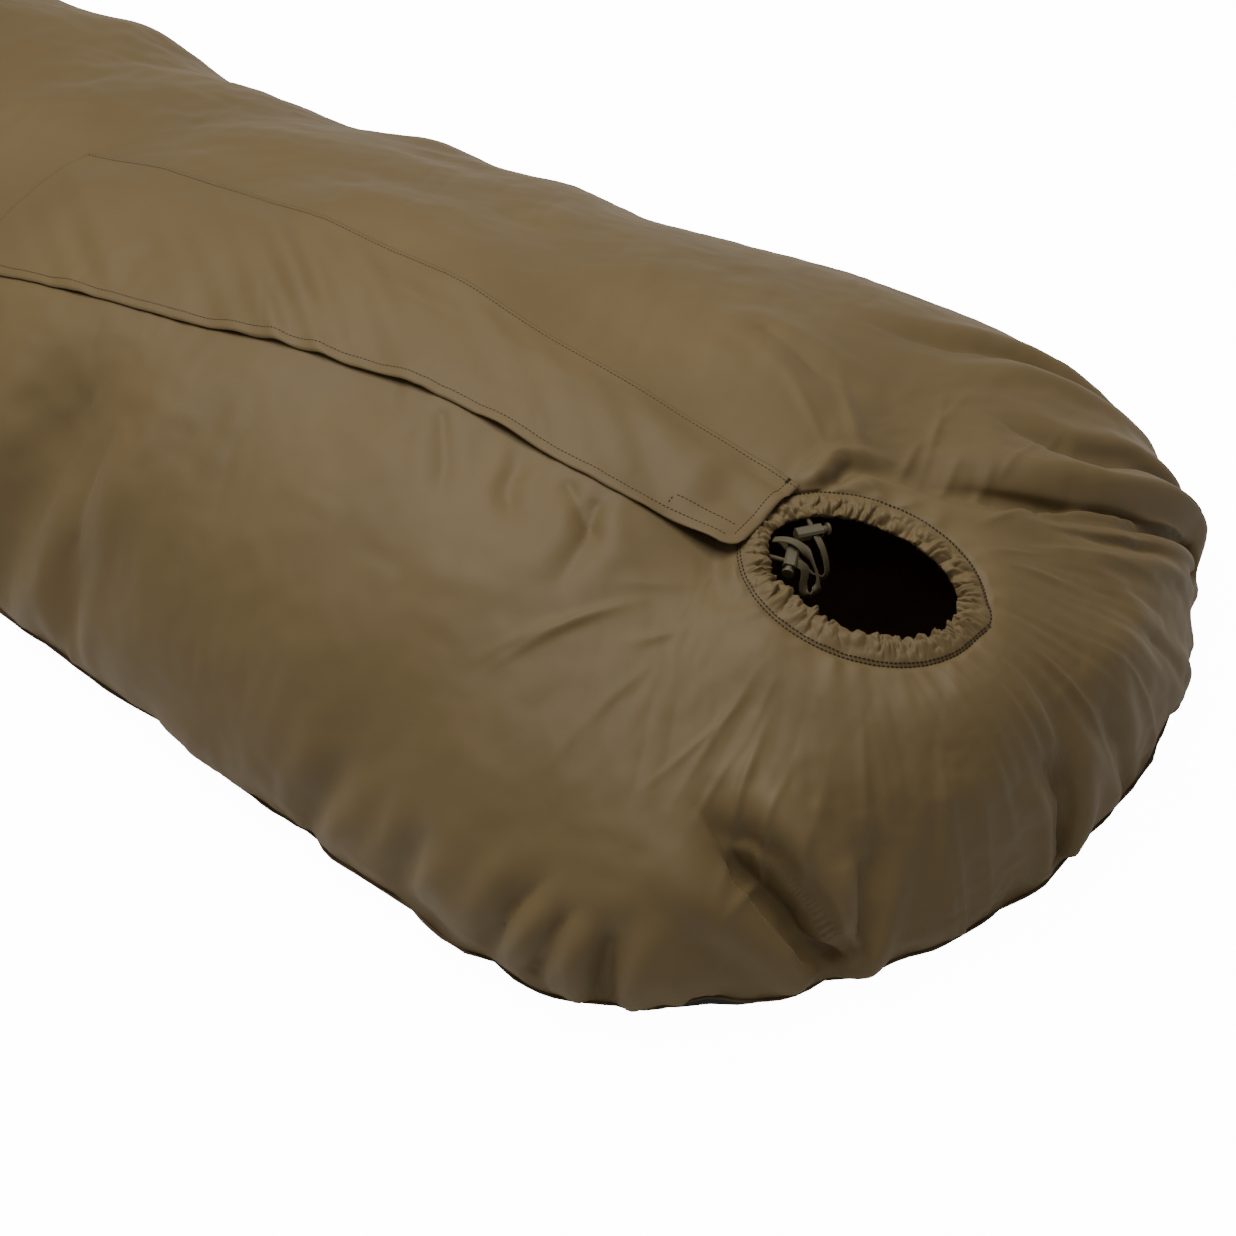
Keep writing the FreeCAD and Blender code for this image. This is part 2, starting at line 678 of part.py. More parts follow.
def lock_placement(lock):
    (u, v), (du, dv), side = lock
    angle = math.degrees(math.atan2(dv, du))
    local = Placement(Vector(u, v, 0), Rotation(Vector(0, 0, 1), angle))
    return face_placement().multiply(local)


def lock_body(label, lock):
    """Barrel along local X: blind bore from the plunger's end, slot across, and a thumb recess."""
    body = new_body(label)
    wide, tall, long = size("lock_width") / 2.0, size("lock_height") / 2.0, size("lock_length")
    section = new_sketch(body, "YZ_Plane", label + "_section")
    cut = size("lock_height") * 0.2
    outline(section, [(-wide, -tall + cut), (-wide + cut, -tall), (wide - cut, -tall), (wide, -tall + cut),
                      (wide, tall - cut), (wide - cut, tall), (-wide + cut, tall), (-wide, tall - cut)])
    pad(body, section, long)
    bore = new_sketch(body, "YZ_Plane", label + "_bore", size("bore_floor"))
    circle(bore, (sized(0.0), sized(0.0)), size("bore") / 2.0)
    pocket(body, bore, long, backwards=True)
    slot = new_sketch(body, "XZ_Plane", label + "_slot")
    middle, reach = size("lock_slot"), size("slot_length") / 2.0
    rectangle(slot, (middle - reach, -size("slot_height") / 2.0), (middle + reach, size("slot_height") / 2.0))
    pocket(body, slot, size("lock_width") * 2.0, both_ways=True)
    body.Placement = lock_placement(lock)
    return body


def lock_plunger(label, lock):
    """Stem with a slot for the cord, and a round flange that the thumb presses."""
    body = new_body(label)
    start, out = size("stem_start"), size("lock_length") + size("stem_out")
    stem = new_sketch(body, "YZ_Plane", label + "_stem", start)
    circle(stem, (sized(0.0), sized(0.0)), size("stem") / 2.0)
    pad(body, stem, out - start)
    flange = new_sketch(body, "YZ_Plane", label + "_flange", out - 0.01)
    circle(flange, (sized(0.0), sized(0.0)), size("flange") / 2.0)
    pad(body, flange, size("flange_gauge"))
    slot = new_sketch(body, "XZ_Plane", label + "_slot")
    low = size("lock_slot") - size("cord") / 2.0 - 0.4
    high = size("lock_slot") + size("cord") / 2.0 + size("press") + 0.4
    rectangle(slot, (low, -size("slot_height") / 2.0), (high, size("slot_height") / 2.0))
    pocket(body, slot, size("stem") * 2.0, both_ways=True)
    body.Placement = lock_placement(lock)
    return body


def lock_spring(label, lock):
    """A coil spring, bent from short runs, between the bore's floor and the plunger's inner end."""
    thickness = plain("spring_wire")
    coil = (plain("spring_outside") - thickness) / 2.0
    rise = plain("stem_start") - plain("bore_floor") - 0.2 - thickness
    bends = int(plain("spring_turns") * plain("spring_bends"))
    points = []
    for k in range(bends + 1):
        turn = 2.0 * math.pi * k / plain("spring_bends")
        points.append(Vector(coil * math.cos(turn), coil * math.sin(turn), rise * k / bends))
    spring = route_sweep(rounded_route(points)[0], thickness)
    lie = Placement(Vector(plain("bore_floor") + 0.1 + thickness / 2.0, 0, 0), Rotation(Vector(0, 1, 0), 90.0))
    spring.Placement = lock_placement(lock).multiply(lie)
    return add_shape(label, spring)


def cord_locks():
    for name, lock in (("a", LOCK_A), ("b", LOCK_B)):
        lock_body("cord_lock_%s_body" % name, lock)
        lock_plunger("cord_lock_%s_plunger" % name, lock)
        lock_spring("cord_lock_%s_spring" % name, lock)


# ---------------------------------------------------------------- make, check and write

def check_and_write():
    doc.recompute()
    for feature in doc.Objects:
        if "Invalid" in feature.State or "Error" in feature.State:
            raise RuntimeError("failed object: " + feature.Label)
    os.makedirs("parts", exist_ok=True)
    for feature in SUBPARTS:
        shape = feature.Shape
        if shape.isNull() or not shape.isValid() or not shape.Solids:
            raise RuntimeError("bad shape: " + feature.Label)
    for feature in SUBPARTS:
        feature.Shape.exportStep("parts/" + feature.Label + ".step")
        box = feature.Shape.BoundBox
        print("%-22s %2d solid(s) %10.1f mm3  x %.1f..%.1f  y %.1f..%.1f  z %.1f..%.1f"
              % (feature.Label, len(feature.Shape.Solids), feature.Shape.Volume, box.XMin, box.XMax,
                 box.YMin, box.YMax, box.ZMin, box.ZMax))


floor_sheet()
shell_panel("near_side_panel", -1)
shell_panel("far_side_panel", 1)
perimeter_binding()
face_casing()
face_drawcord()
cord_tube("drawcord_loop_a", [lock_points(LOCK_A)[0]] + LOOP_A)
cord_tube("drawcord_loop_b", [lock_points(LOCK_B)[0]] + LOOP_B)
cord_locks()
zip_parts()
flap_parts()
check_and_write()
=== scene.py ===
"""Blender scene of a filled bivy sack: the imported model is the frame, and this script gives it its looks."""

import math

import bpy
import numpy as np
from mathutils import Matrix, Vector
from mathutils.bvhtree import BVHTree


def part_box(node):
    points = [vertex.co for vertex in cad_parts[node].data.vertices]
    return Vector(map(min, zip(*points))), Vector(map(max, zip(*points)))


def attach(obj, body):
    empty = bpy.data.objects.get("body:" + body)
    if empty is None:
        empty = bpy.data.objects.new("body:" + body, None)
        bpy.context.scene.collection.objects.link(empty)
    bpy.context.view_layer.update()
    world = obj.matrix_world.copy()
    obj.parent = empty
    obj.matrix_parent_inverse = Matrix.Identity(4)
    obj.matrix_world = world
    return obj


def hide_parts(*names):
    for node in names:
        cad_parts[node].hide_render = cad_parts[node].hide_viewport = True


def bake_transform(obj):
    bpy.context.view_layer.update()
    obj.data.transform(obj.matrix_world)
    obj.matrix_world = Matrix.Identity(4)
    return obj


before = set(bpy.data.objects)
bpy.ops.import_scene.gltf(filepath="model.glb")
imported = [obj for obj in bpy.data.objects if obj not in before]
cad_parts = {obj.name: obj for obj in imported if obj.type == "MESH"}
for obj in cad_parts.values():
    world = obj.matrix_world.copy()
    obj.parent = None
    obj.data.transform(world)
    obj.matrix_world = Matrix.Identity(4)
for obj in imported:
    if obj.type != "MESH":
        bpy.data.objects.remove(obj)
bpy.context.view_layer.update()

# ---------------------------------------------------------------- sizes, in metres
ZIP_Y = -0.050                      # the zip's line, a little to the near side
PIVOT_X, PIVOT_Z = 0.540, -1.080    # centre of the zip's arc
ARC_RADIUS = 1.320
END_X = 1.121                       # the shell reaches this far to each end
SHELL_FOOT = 0.0024                 # height of the shell's lower edge
SLIT_START, SLIT_FULL = 0.165, 0.215
SLIT_HALF = 0.0078

FACE_CENTRE = Vector((0.930, -0.050, 0.1825))
FACE_TILT = math.radians(12)
FACE_TURN = math.radians(15)
FACE_U = Vector((math.cos(FACE_TILT), 0, -math.sin(FACE_TILT)))
FACE_V = Vector((0, 1, 0))
FACE_N = Vector((math.sin(FACE_TILT), 0, math.cos(FACE_TILT)))
OVAL_SHIFT = -0.0025
CASING_HALF = (0.0915, 0.0745)
HOLE_HALF = (0.0705, 0.0485)

FLAP_START, FLAP_END = 0.168, 0.8515
FLAP_SEWN_Y, FLAP_FREE_Y = -0.016, -0.112
FLAP_CORNER = 0.014

# ---------------------------------------------------------------- small helpers


def smooth(t):
    """A step from 0 to 1 with level ends."""
    t = np.clip(t, 0.0, 1.0)
    return t * t * (3 - 2 * t)


def bump(t):
    """A hump that is 1 at t = 0 and 0 from t = 1 on."""
    return 1 - smooth(np.abs(t))


def cloud(points, wavelength, seed, waves=14):
    """Smooth noise of about unit size, from sine waves in seeded directions."""
    rng = np.random.default_rng(seed)
    points = np.asarray(points, float)
    total = np.zeros(len(points))
    for _ in range(waves):
        way = rng.normal(size=points.shape[1])
        way /= np.linalg.norm(way)
        length = wavelength * rng.uniform(0.7, 1.6)
        total += np.sin(points @ way * (2 * math.pi / length) + rng.uniform(0, 6.283))
    return total / math.sqrt(waves / 2)


def add_mesh(name, points, faces, material):
    """A mesh object from an array of points and a list of faces."""
    mesh = bpy.data.meshes.new(name)
    mesh.from_pydata([tuple(map(float, p)) for p in points], [], [tuple(map(int, f)) for f in faces])
    mesh.validate()
    mesh.update()
    mesh.polygons.foreach_set("use_smooth", [True] * len(mesh.polygons))
    piece = bpy.data.objects.new(name, mesh)
    bpy.context.scene.collection.objects.link(piece)
    mesh.materials.append(material)
    return piece


def grid_faces(rows, cols, closed=False):
    """The quads of a grid of points that is stored row by row."""
    faces = []
    last = cols if closed else cols - 1
    for i in range(rows - 1):
        for j in range(last):
            k = (j + 1) % cols
            a = i * cols
            faces.append((a + j, a + k, a + cols + k, a + cols + j))
    return faces


def points_of(piece):
    """The points of a mesh as an array."""
    found = np.zeros(len(piece.data.vertices) * 3)
    piece.data.vertices.foreach_get("co", found)
    return found.reshape(-1, 3)


def move_points(piece, points):
    """Puts a mesh's points at new places."""
    piece.data.vertices.foreach_set("co", np.asarray(points, float).ravel())
    piece.data.update()


def normals_of(piece):
    """The normals at the points of a mesh as an array."""
    found = np.zeros(len(piece.data.vertices) * 3)
    piece.data.vertices.foreach_get("normal", found)
    return found.reshape(-1, 3)


def unit(rows):
    """The same vectors at length one."""
    return rows / np.linalg.norm(rows, axis=1)[:, None]


def distances(points):
    """How far along a line each of its points is."""
    return np.r_[0, np.cumsum(np.linalg.norm(np.diff(points, axis=0), axis=1))]


def resample(points, count):
    """The same line with a number of evenly spaced points."""
    length = distances(points)
    at = np.linspace(0, length[-1], count)
    return np.stack([np.interp(at, length, points[:, k]) for k in range(points.shape[1])], axis=1)


def turned(a, b):
    """Coordinates turned by the face oval's turn in its own plane."""
    return (a * math.cos(FACE_TURN) + b * math.sin(FACE_TURN),
            b * math.cos(FACE_TURN) - a * math.sin(FACE_TURN))


def subdivide(piece, levels):
    """Catmull-Clark subdivision, applied to the mesh."""
    step = piece.modifiers.new("Subdivision", "SUBSURF")
    step.levels = levels
    step.render_levels = levels
    step.boundary_smooth = "PRESERVE_CORNERS"
    apply_modifiers(piece)


def apply_modifiers(piece):
    """Swaps the mesh for what its modifiers make of it."""
    graph = bpy.context.evaluated_depsgraph_get()
    made = bpy.data.meshes.new_from_object(piece.evaluated_get(graph), depsgraph=graph)
    piece.modifiers.clear()
    old = piece.data
    piece.data = made
    bpy.data.meshes.remove(old)


# ---------------------------------------------------------------- materials


class Nodes:
    """A short way to write a material's node tree."""

    def __init__(self, name):
        self.material = bpy.data.materials.new(name)
        self.material.use_nodes = True
        self.tree = self.material.node_tree
        self.shader = self.tree.nodes["Principled BSDF"]
        place = self.tree.nodes.new("ShaderNodeTexCoord")
        self.where = place.outputs["Object"]

    def add(self, kind, **values):
        """A new node with its settings or input values."""
        node = self.tree.nodes.new(kind)
        for key, value in values.items():
            if hasattr(node, key) and key not in node.inputs:
                setattr(node, key, value)
            else:
                node.inputs[key].default_value = value
        return node

    def link(self, a, b):
        self.tree.links.new(a, b)

    def noise(self, scale, detail, rough=0.5, stretch=None, turn=None, distort=0.0):
        """A noise texture, stretched and turned where asked."""
        node = self.add("ShaderNodeTexNoise", Scale=scale, Detail=detail, Roughness=rough, Distortion=distort)
        self.link(self.mapped(stretch, turn) if stretch else self.where, node.inputs["Vector"])
        return node.outputs["Fac"]

    def mapped(self, stretch, turn):
        """The object's coordinates, stretched and turned."""
        node = self.add("ShaderNodeMapping", Scale=stretch, Rotation=turn)
        self.link(self.where, node.inputs["Vector"])
        return node.outputs["Vector"]

    def wrinkles(self, scale, stretch, turn):
        """Sharp small creases that come in patches."""
        ridges = self.add("ShaderNodeTexNoise", noise_type="RIDGED_MULTIFRACTAL", Scale=scale, Detail=1.5)
        self.link(self.mapped(stretch, turn), ridges.inputs["Vector"])
        patches = self.add("ShaderNodeMapRange")
        self.link(self.noise(5.0, 1.0), patches.inputs["Value"])
        patches.inputs["From Min"].default_value = 0.42
        patches.inputs["From Max"].default_value = 0.62
        product = self.add("ShaderNodeMath", operation="MULTIPLY")
        self.link(ridges.outputs["Fac"], product.inputs[0])
        self.link(patches.outputs["Result"], product.inputs[1])
        return product.outputs[0]

    def bumps(self, *heights):
        """Chains bump nodes: each is (height socket, strength, distance in metres)."""
        last = None
        for socket, strength, distance in heights:
            node = self.add("ShaderNodeBump", Strength=strength, Distance=distance)
            self.link(socket, node.inputs["Height"])
            if last:
                self.link(last, node.inputs["Normal"])
            last = node.outputs["Normal"]
        self.link(last, self.shader.inputs["Normal"])

    def mixed(self, factor, low, high):
        """A colour that runs from low to high with a factor socket."""
        ramp = self.add("ShaderNodeValToRGB")
        ramp.color_ramp.elements[0].position = 0.3
        ramp.color_ramp.elements[1].position = 0.7
        ramp.color_ramp.elements[0].color = (*low, 1)
        ramp.color_ramp.elements[1].color = (*high, 1)
        self.link(factor, ramp.inputs["Fac"])
        return ramp.outputs["Color"]


def fabric(name, colour, rough=0.60, sheen=0.10, wrinkle=1.0, weave=0.0004):
    """Smooth woven nylon: a fine weave, small creases and slight colour changes."""
    n = Nodes(name)
    dark = [c * 0.93 for c in colour]
    light = [c * 1.06 for c in colour]
    n.link(n.mixed(n.noise(7.0, 3.0), dark, light), n.shader.inputs["Base Color"])
    n.shader.inputs["Roughness"].default_value = rough
    n.shader.inputs["Specular IOR Level"].default_value = 0.28
    n.shader.inputs["Sheen Weight"].default_value = sheen
    n.shader.inputs["Sheen Roughness"].default_value = 0.45
    n.shader.inputs["Sheen Tint"].default_value = (1.0, 0.82, 0.56, 1)
    soft = n.noise(16.0, 3.0, 0.55, stretch=(1.0, 0.45, 1.0), turn=(0, 0, 0.5))
    crease = n.noise(70.0, 4.0, 0.6, stretch=(0.35, 1.2, 0.8), turn=(0.2, 0.3, 0.9), distort=0.6)
    ridges = n.wrinkles(11.0, (0.45, 1.5, 1.0), (0.1, 0.2, 0.7))
    threads = n.noise(1.0 / weave, 1.0, 0.5)
    n.bumps(
        (ridges, 0.22 * wrinkle, 0.0014),
        (soft, 0.16 * wrinkle, 0.004),
        (crease, 0.20 * wrinkle, 0.0009),
        (threads, 0.12, 0.0001),
    )
    return n.material


def plain(name, colour, rough, metal=0.0, grain=900.0, depth=0.00008):
    """Moulded plastic or metal with a fine grain."""
    n = Nodes(name)
    dark = [c * 0.88 for c in colour]
    light = [c * 1.10 for c in colour]
    n.link(n.mixed(n.noise(60.0, 3.0), dark, light), n.shader.inputs["Base Color"])
    n.shader.inputs["Roughness"].default_value = rough
    n.shader.inputs["Metallic"].default_value = metal
    n.shader.inputs["Specular IOR Level"].default_value = 0.5
    n.bumps((n.noise(grain, 2.0), 0.25, depth))
    return n.material


BROWN = (0.140, 0.095, 0.038)
SHELL_CLOTH = fabric("shell_cloth", BROWN)
CASING_CLOTH = fabric("casing_cloth", [c * 0.97 for c in BROWN], wrinkle=0.8)
FLOOR_CLOTH = fabric("floor_cloth", (0.052, 0.052, 0.054), rough=0.62, sheen=0.1)
LINING_CLOTH = fabric("lining_cloth", (0.46, 0.25, 0.13), rough=0.7)
BINDING_CLOTH = fabric("binding_cloth", (0.120, 0.082, 0.034), rough=0.6)
THREAD = fabric("sewing_thread", (0.030, 0.021, 0.010), rough=0.8, sheen=0.0, weave=0.0002)
CORD_CLOTH = fabric("cord_cloth", (0.086, 0.067, 0.034), rough=0.6, sheen=0.2, wrinkle=0.2, weave=0.0005)
TAPE_CLOTH = fabric("zip_tape_cloth", (0.090, 0.064, 0.034), rough=0.65, sheen=0.25, wrinkle=0.3,
                    weave=0.0006)
PATCH_CLOTH = fabric("hook_and_loop_pile", (0.080, 0.057, 0.031), rough=0.85, sheen=0.5, wrinkle=0.4,
                     weave=0.0012)
LOCK_PLASTIC = plain("lock_plastic", (0.088, 0.072, 0.038), rough=0.42)
COIL_PLASTIC = plain("coil_plastic", (0.055, 0.040, 0.024), rough=0.38)
SLIDER_PAINT = plain("slider_paint", (0.030, 0.025, 0.020), rough=0.34, grain=1500.0, depth=0.00004)
SPRING_STEEL = plain("spring_steel", (0.55, 0.55, 0.56), rough=0.25, metal=1.0)

# ---------------------------------------------------------------- camera, floor and light

VIEW_BACK = Vector((0.41419, -0.58070, 0.70091))   # from the aim towards the camera
VIEW_AIM = Vector((0.761, -0.113, 0.100))
VIEW_DISTANCE = 3.0
FOCAL_LENGTH, SENSOR_WIDTH = 119.97, 36.0          # in millimetres
FLOOR_REACH, FLOOR_Z = 30.0, -0.0006
FLOOR_GLOW = 14.0                                  # makes the floor white in the camera's eye only
SKY_STRENGTH = 0.225


def add_camera():
    """The camera that sees the head end from the near side."""
    lens = bpy.data.cameras.new("camera")
    lens.lens = FOCAL_LENGTH
    lens.sensor_width = SENSOR_WIDTH
    lens.clip_end = 60.0
    camera = bpy.data.objects.new("camera", lens)
    bpy.context.scene.collection.objects.link(camera)
    back = VIEW_BACK.normalized()
    right = Vector((-back.y, back.x, 0)).normalized()
    up = back.cross(right)
    turn = Matrix((right, up, back)).transposed()
    camera.matrix_world = Matrix.Translation(VIEW_AIM + back * VIEW_DISTANCE) @ turn.to_4x4()
    bpy.context.scene.camera = camera


def add_floor():
    """A white ground without an edge."""
    material = bpy.data.materials.new("floor_paint")
    material.use_nodes = True
    shader = material.node_tree.nodes["Principled BSDF"]
    shader.inputs["Base Color"].default_value = (0.93, 0.93, 0.93, 1)
    shader.inputs["Roughness"].default_value = 0.9
    shader.inputs["Emission Color"].default_value = (1, 1, 1, 1)
    path = material.node_tree.nodes.new("ShaderNodeLightPath")
    glow = material.node_tree.nodes.new("ShaderNodeMath")
    glow.operation = "MULTIPLY"
    glow.inputs[1].default_value = FLOOR_GLOW
    material.node_tree.links.new(path.outputs["Is Camera Ray"], glow.inputs[0])
    material.node_tree.links.new(glow.outputs[0], shader.inputs["Emission Strength"])
    corners = [(FLOOR_REACH * i, FLOOR_REACH * j, FLOOR_Z) for i, j in ((-1, -1), (1, -1), (1, 1), (-1, 1))]
    floor = add_mesh("floor", corners, [(0, 1, 2, 3)], material)


def add_light(name, place, target, size, watts):
    """A white area light that the camera doesn't see."""
    lamp = bpy.data.lights.new(name, "AREA")
    lamp.shape = "RECTANGLE"
    lamp.size, lamp.size_y = size
    lamp.energy = watts
    light = bpy.data.objects.new(name, lamp)
    bpy.context.scene.collection.objects.link(light)
    way = Vector(target) - Vector(place)
    light.matrix_world = Matrix.Translation(place) @ way.to_track_quat("-Z", "Y").to_matrix().to_4x4()
    light.visible_camera = False


def add_world():
    """An even pale sky."""
    world = bpy.data.worlds.new("studio")
    bpy.context.scene.world = world
    world.use_nodes = True
    sky = world.node_tree.nodes["Background"]
    sky.inputs["Color"].default_value = (1, 1, 1, 1)
    sky.inputs["Strength"].default_value = SKY_STRENGTH


add_camera()
add_floor()
add_world()
add_light("key", (0.15, -0.1, 2.4), (0.6, -0.1, 0.1), (1.6, 1.6), 63)
add_light("back", (0.0, 2.1, 2.1), (0.7, 0.0, 0.1), (2.0, 1.0), 5.5)

# ---------------------------------------------------------------- cords

# The loops' routes in the face opening's plane: along it, across it and above it.
LOOP_A = [(-0.04836, 0.00979, 0), (-0.0437, 0.00685, 0), (-0.0375, 0.0045, -0.004), (-0.032, 0.0025, -0.0105),
          (-0.0285, 0.0005, -0.017), (-0.0305, -0.0035, -0.0215), (-0.0385, -0.005, -0.0195),
          (-0.0485, -0.006, -0.0145), (-0.059, -0.0075, -0.0095), (-0.0675, -0.0088, -0.0035)]
LOOP_B = [(-0.04486, -0.02134, 0), (-0.03985, -0.0191, 0), (-0.0362, -0.021, -0.0055),
          (-0.0343, -0.0245, -0.0115), (-0.0305, -0.027, -0.017), (-0.026, -0.0235, -0.018),
          (-0.0248, -0.0185, -0.012), (-0.0295, -0.015, -0.0045), (-0.0375, -0.0128, 0.002),
          (-0.0465, -0.0115, 0.0068), (-0.056, -0.012, 0.0076), (-0.0645, -0.0135, 0.0042),
          (-0.0693, -0.0152, 0.0005)]
RIBBON_WIDTH = 0.0066
RIBBON_GAUGE = 0.0013
RIBBON_RIBS = 5
RIBBON_STEP = 0.0007        # between the rings of its mesh


def face_point(u, v, n=0.0):
    """A point given in the face opening's plane."""
    return FACE_CENTRE + FACE_U * u + FACE_V * v + FACE_N * n


def route_line(name, route):
    """Points along the smooth line that a route steers."""
    curve = bpy.data.curves.new(name, "CURVE")
    curve.dimensions = "3D"
    spline = curve.splines.new("NURBS")
    spline.points.add(len(route) - 1)
    for point, place in zip(spline.points, route):
        point.co = (*place, 1)
    spline.order_u = 3
    spline.use_endpoint_u = True
    spline.resolution_u = 16
    holder = bpy.data.objects.new(name, curve)
    line = bpy.data.meshes.new_from_object(holder)
    found = np.array([v.co[:] for v in line.vertices])
    bpy.data.objects.remove(holder)
    bpy.data.curves.remove(curve)
    bpy.data.meshes.remove(line)
    return found


def ribbon_section():
    """The ribbed outline of the ribbon, across from -1 to 1 and up in gauges."""
    top = []
    for t in np.linspace(-1, 1, 4 * RIBBON_RIBS + 1):
        edge = math.sqrt(max(0.0, 1 - t ** 6))
        top.append((t, edge * (0.5 + 0.18 * math.cos(t * RIBBON_RIBS * math.pi))))
    return top + [(t, -h) for t, h in reversed(top[1:-1])]


def ribbon(name, route, facing):
    """A flat ribbed cord along a route; facing gives the flat side's direction along it."""
    line = route_line(name + "_route", route)
    line = resample(line, int(round(distances(line)[-1] / RIBBON_STEP)) + 1)
    along = unit(np.gradient(line, axis=0))
    share = np.linspace(0, 1, len(line))
    stops = np.linspace(0, 1, len(facing))
    look = np.stack([np.interp(share, stops, [f[k] for f in facing]) for k in range(3)], axis=1)
    look = look[:, :1] * np.array(FACE_U) + look[:, 1:2] * np.array(FACE_V) + look[:, 2:] * np.array(FACE_N)
    side = unit(np.cross(along, look))
    flat = np.cross(side, along)
    section = ribbon_section()
    cols = len(section)
    points = []
    for p, s, f in zip(line, side, flat):
        for t, h in section:
            points.append(p + s * (t * RIBBON_WIDTH / 2) + f * (h * RIBBON_GAUGE))
    faces = grid_faces(len(line), cols, closed=True)
    faces.append(tuple(range(cols))[::-1])
    faces.append(tuple((len(line) - 1) * cols + k for k in range(cols)))
    piece = add_mesh(name, points, faces, CORD_CLOTH)
    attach(piece, "bag")
    return piece, line


def add_cords():
    """The two free loops of the drawcord, each from its cord lock back into the casing."""
    facing_a = [(0.2, 0.3, 1), (0.5, 0.2, 0.9), (1, 0.3, 0.6), (0.6, -0.4, -1), (0, -0.3, -1), (0, 0, -1)]
    facing_b = [(0.3, -0.3, 1), (0.9, -0.5, 0.5), (0.6, -0.6, -0.4), (-0.7, -0.8, -0.5), (-0.8, -0.3, 0.5),
                (-0.1, 0.1, 1), (0, 0.2, 1)]
    made = (
        ("ribbon_loop_a", LOOP_A, facing_a, "drawcord_loop_a", 0.0763),
        ("ribbon_loop_b", LOOP_B, facing_b, "drawcord_loop_b", 0.0931),
    )
    for name, places, facing, node, length in made:
        route = [face_point(*place) for place in places]
        piece, line = ribbon(name, route, facing)
        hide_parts(node)


add_cords()

# ---------------------------------------------------------------- the shell's form


def cad_tree(*nodes):
    """A search tree over the faces of some CAD nodes."""
    points, faces = [], []
    for node in nodes:
        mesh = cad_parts[node].data
        base = len(points)
        points += [v.co.copy() for v in mesh.vertices]
        faces += [tuple(base + k for k in f.vertices) for f in mesh.polygons]
    return BVHTree.FromPolygons(points, faces)


class ShellForm:
    """The filled shell's form, measured from the CAD panels by stations along the bag."""

    def __init__(self):
        tree = cad_tree("near_side_panel", "far_side_panel")
        stations = END_X * np.sin(np.linspace(-1, 1, 141) * math.pi / 2) * 0.9995
        half, crest = [], []
        for x in stations:
            side = tree.ray_cast(Vector((x, -1, 0.004)), Vector((0, 1, 0)))[0]
            half.append(-side.y)
            middle = self.middle(x)
            away = min(0.09, 0.4 * half[-1])
            heights = []
            for y in (middle - away, middle + away):
                top = tree.ray_cast(Vector((x, y, 1)), Vector((0, 0, -1)))[0]
                reach = half[-1] + (middle if y < middle else -middle)
                if top:
                    heights.append(SHELL_FOOT + (top.z - SHELL_FOOT) / math.sqrt(1 - (away / reach) ** 2))
            crest.append(sum(heights) / len(heights))
        self.stations = stations
        self.half = np.array(half)
        self.crest = np.array(crest)

    @staticmethod
    def middle(x):
        return ZIP_Y * smooth((END_X - np.abs(x)) / 0.15)

    def height(self, x, y):
        """The height of the shell over a plan point."""
        half = np.interp(x, self.stations, self.half)
        crest = np.interp(x, self.stations, self.crest)
        middle = self.middle(x)
        reach = np.where(y < middle, half + middle, half - middle)
        share = 1 - ((y - middle) / reach) ** 2
        z = SHELL_FOOT + (crest - SHELL_FOOT) * np.sqrt(np.clip(share, 0, 1))
        return self.eased(x, y, z)

    @staticmethod
    def eased(x, y, z):
        """Brings the height to the face opening's plane near the casing."""
        u = (x - FACE_CENTRE.x) / math.cos(FACE_TILT) - OVAL_SHIFT
        v = y - FACE_CENTRE.y
        a, b = turned(u, v)
        ring = np.sqrt((a / CASING_HALF[0]) ** 2 + (b / CASING_HALF[1]) ** 2)
        plane = FACE_CENTRE.z - (x - FACE_CENTRE.x) * math.tan(FACE_TILT) + 0.0006
        near = 1 - smooth((ring - 1.0) / 0.8)
        return z + (plane - z) * near

    def outline(self):
        """The near side's outline from the foot end to the head end, in plan."""
        side = np.stack([self.stations, -self.half], axis=1)
        return np.vstack([[-END_X, 0], side, [END_X, 0]])


FORM = ShellForm()


def oval_point(angle, half):
    """A point of an oval about the face opening, in the row frame."""
    a, b = half[0] * np.cos(angle), half[1] * np.sin(angle)
    u = OVAL_SHIFT + a * math.cos(FACE_TURN) - b * math.sin(FACE_TURN)
    v = a * math.sin(FACE_TURN) + b * math.cos(FACE_TURN)
    return (np.array(FACE_CENTRE) + np.multiply.outer(u, np.array(FACE_U))
            + np.multiply.outer(v, np.array(FACE_V)))


def oval_outward(angle):
    """The way out from the face opening's middle, at angles round it."""
    return unit(oval_point(angle, (1.0, 0.8)) - oval_point(angle, (0.0001, 0.0001)))


COLUMNS = 240        # of the shell's grid on each side
RINGS = 44
FOOT_X, HEAD_X = -0.93, 0.8385      # where the columns turn round the foot and the face opening
SPINE_START = FOOT_X + 0.02
DENSE_STEPS = 240    # points of a column before it is spaced evenly
SIDE_ROLL = 0.05     # how far in the cloth curves up from the ends' edge


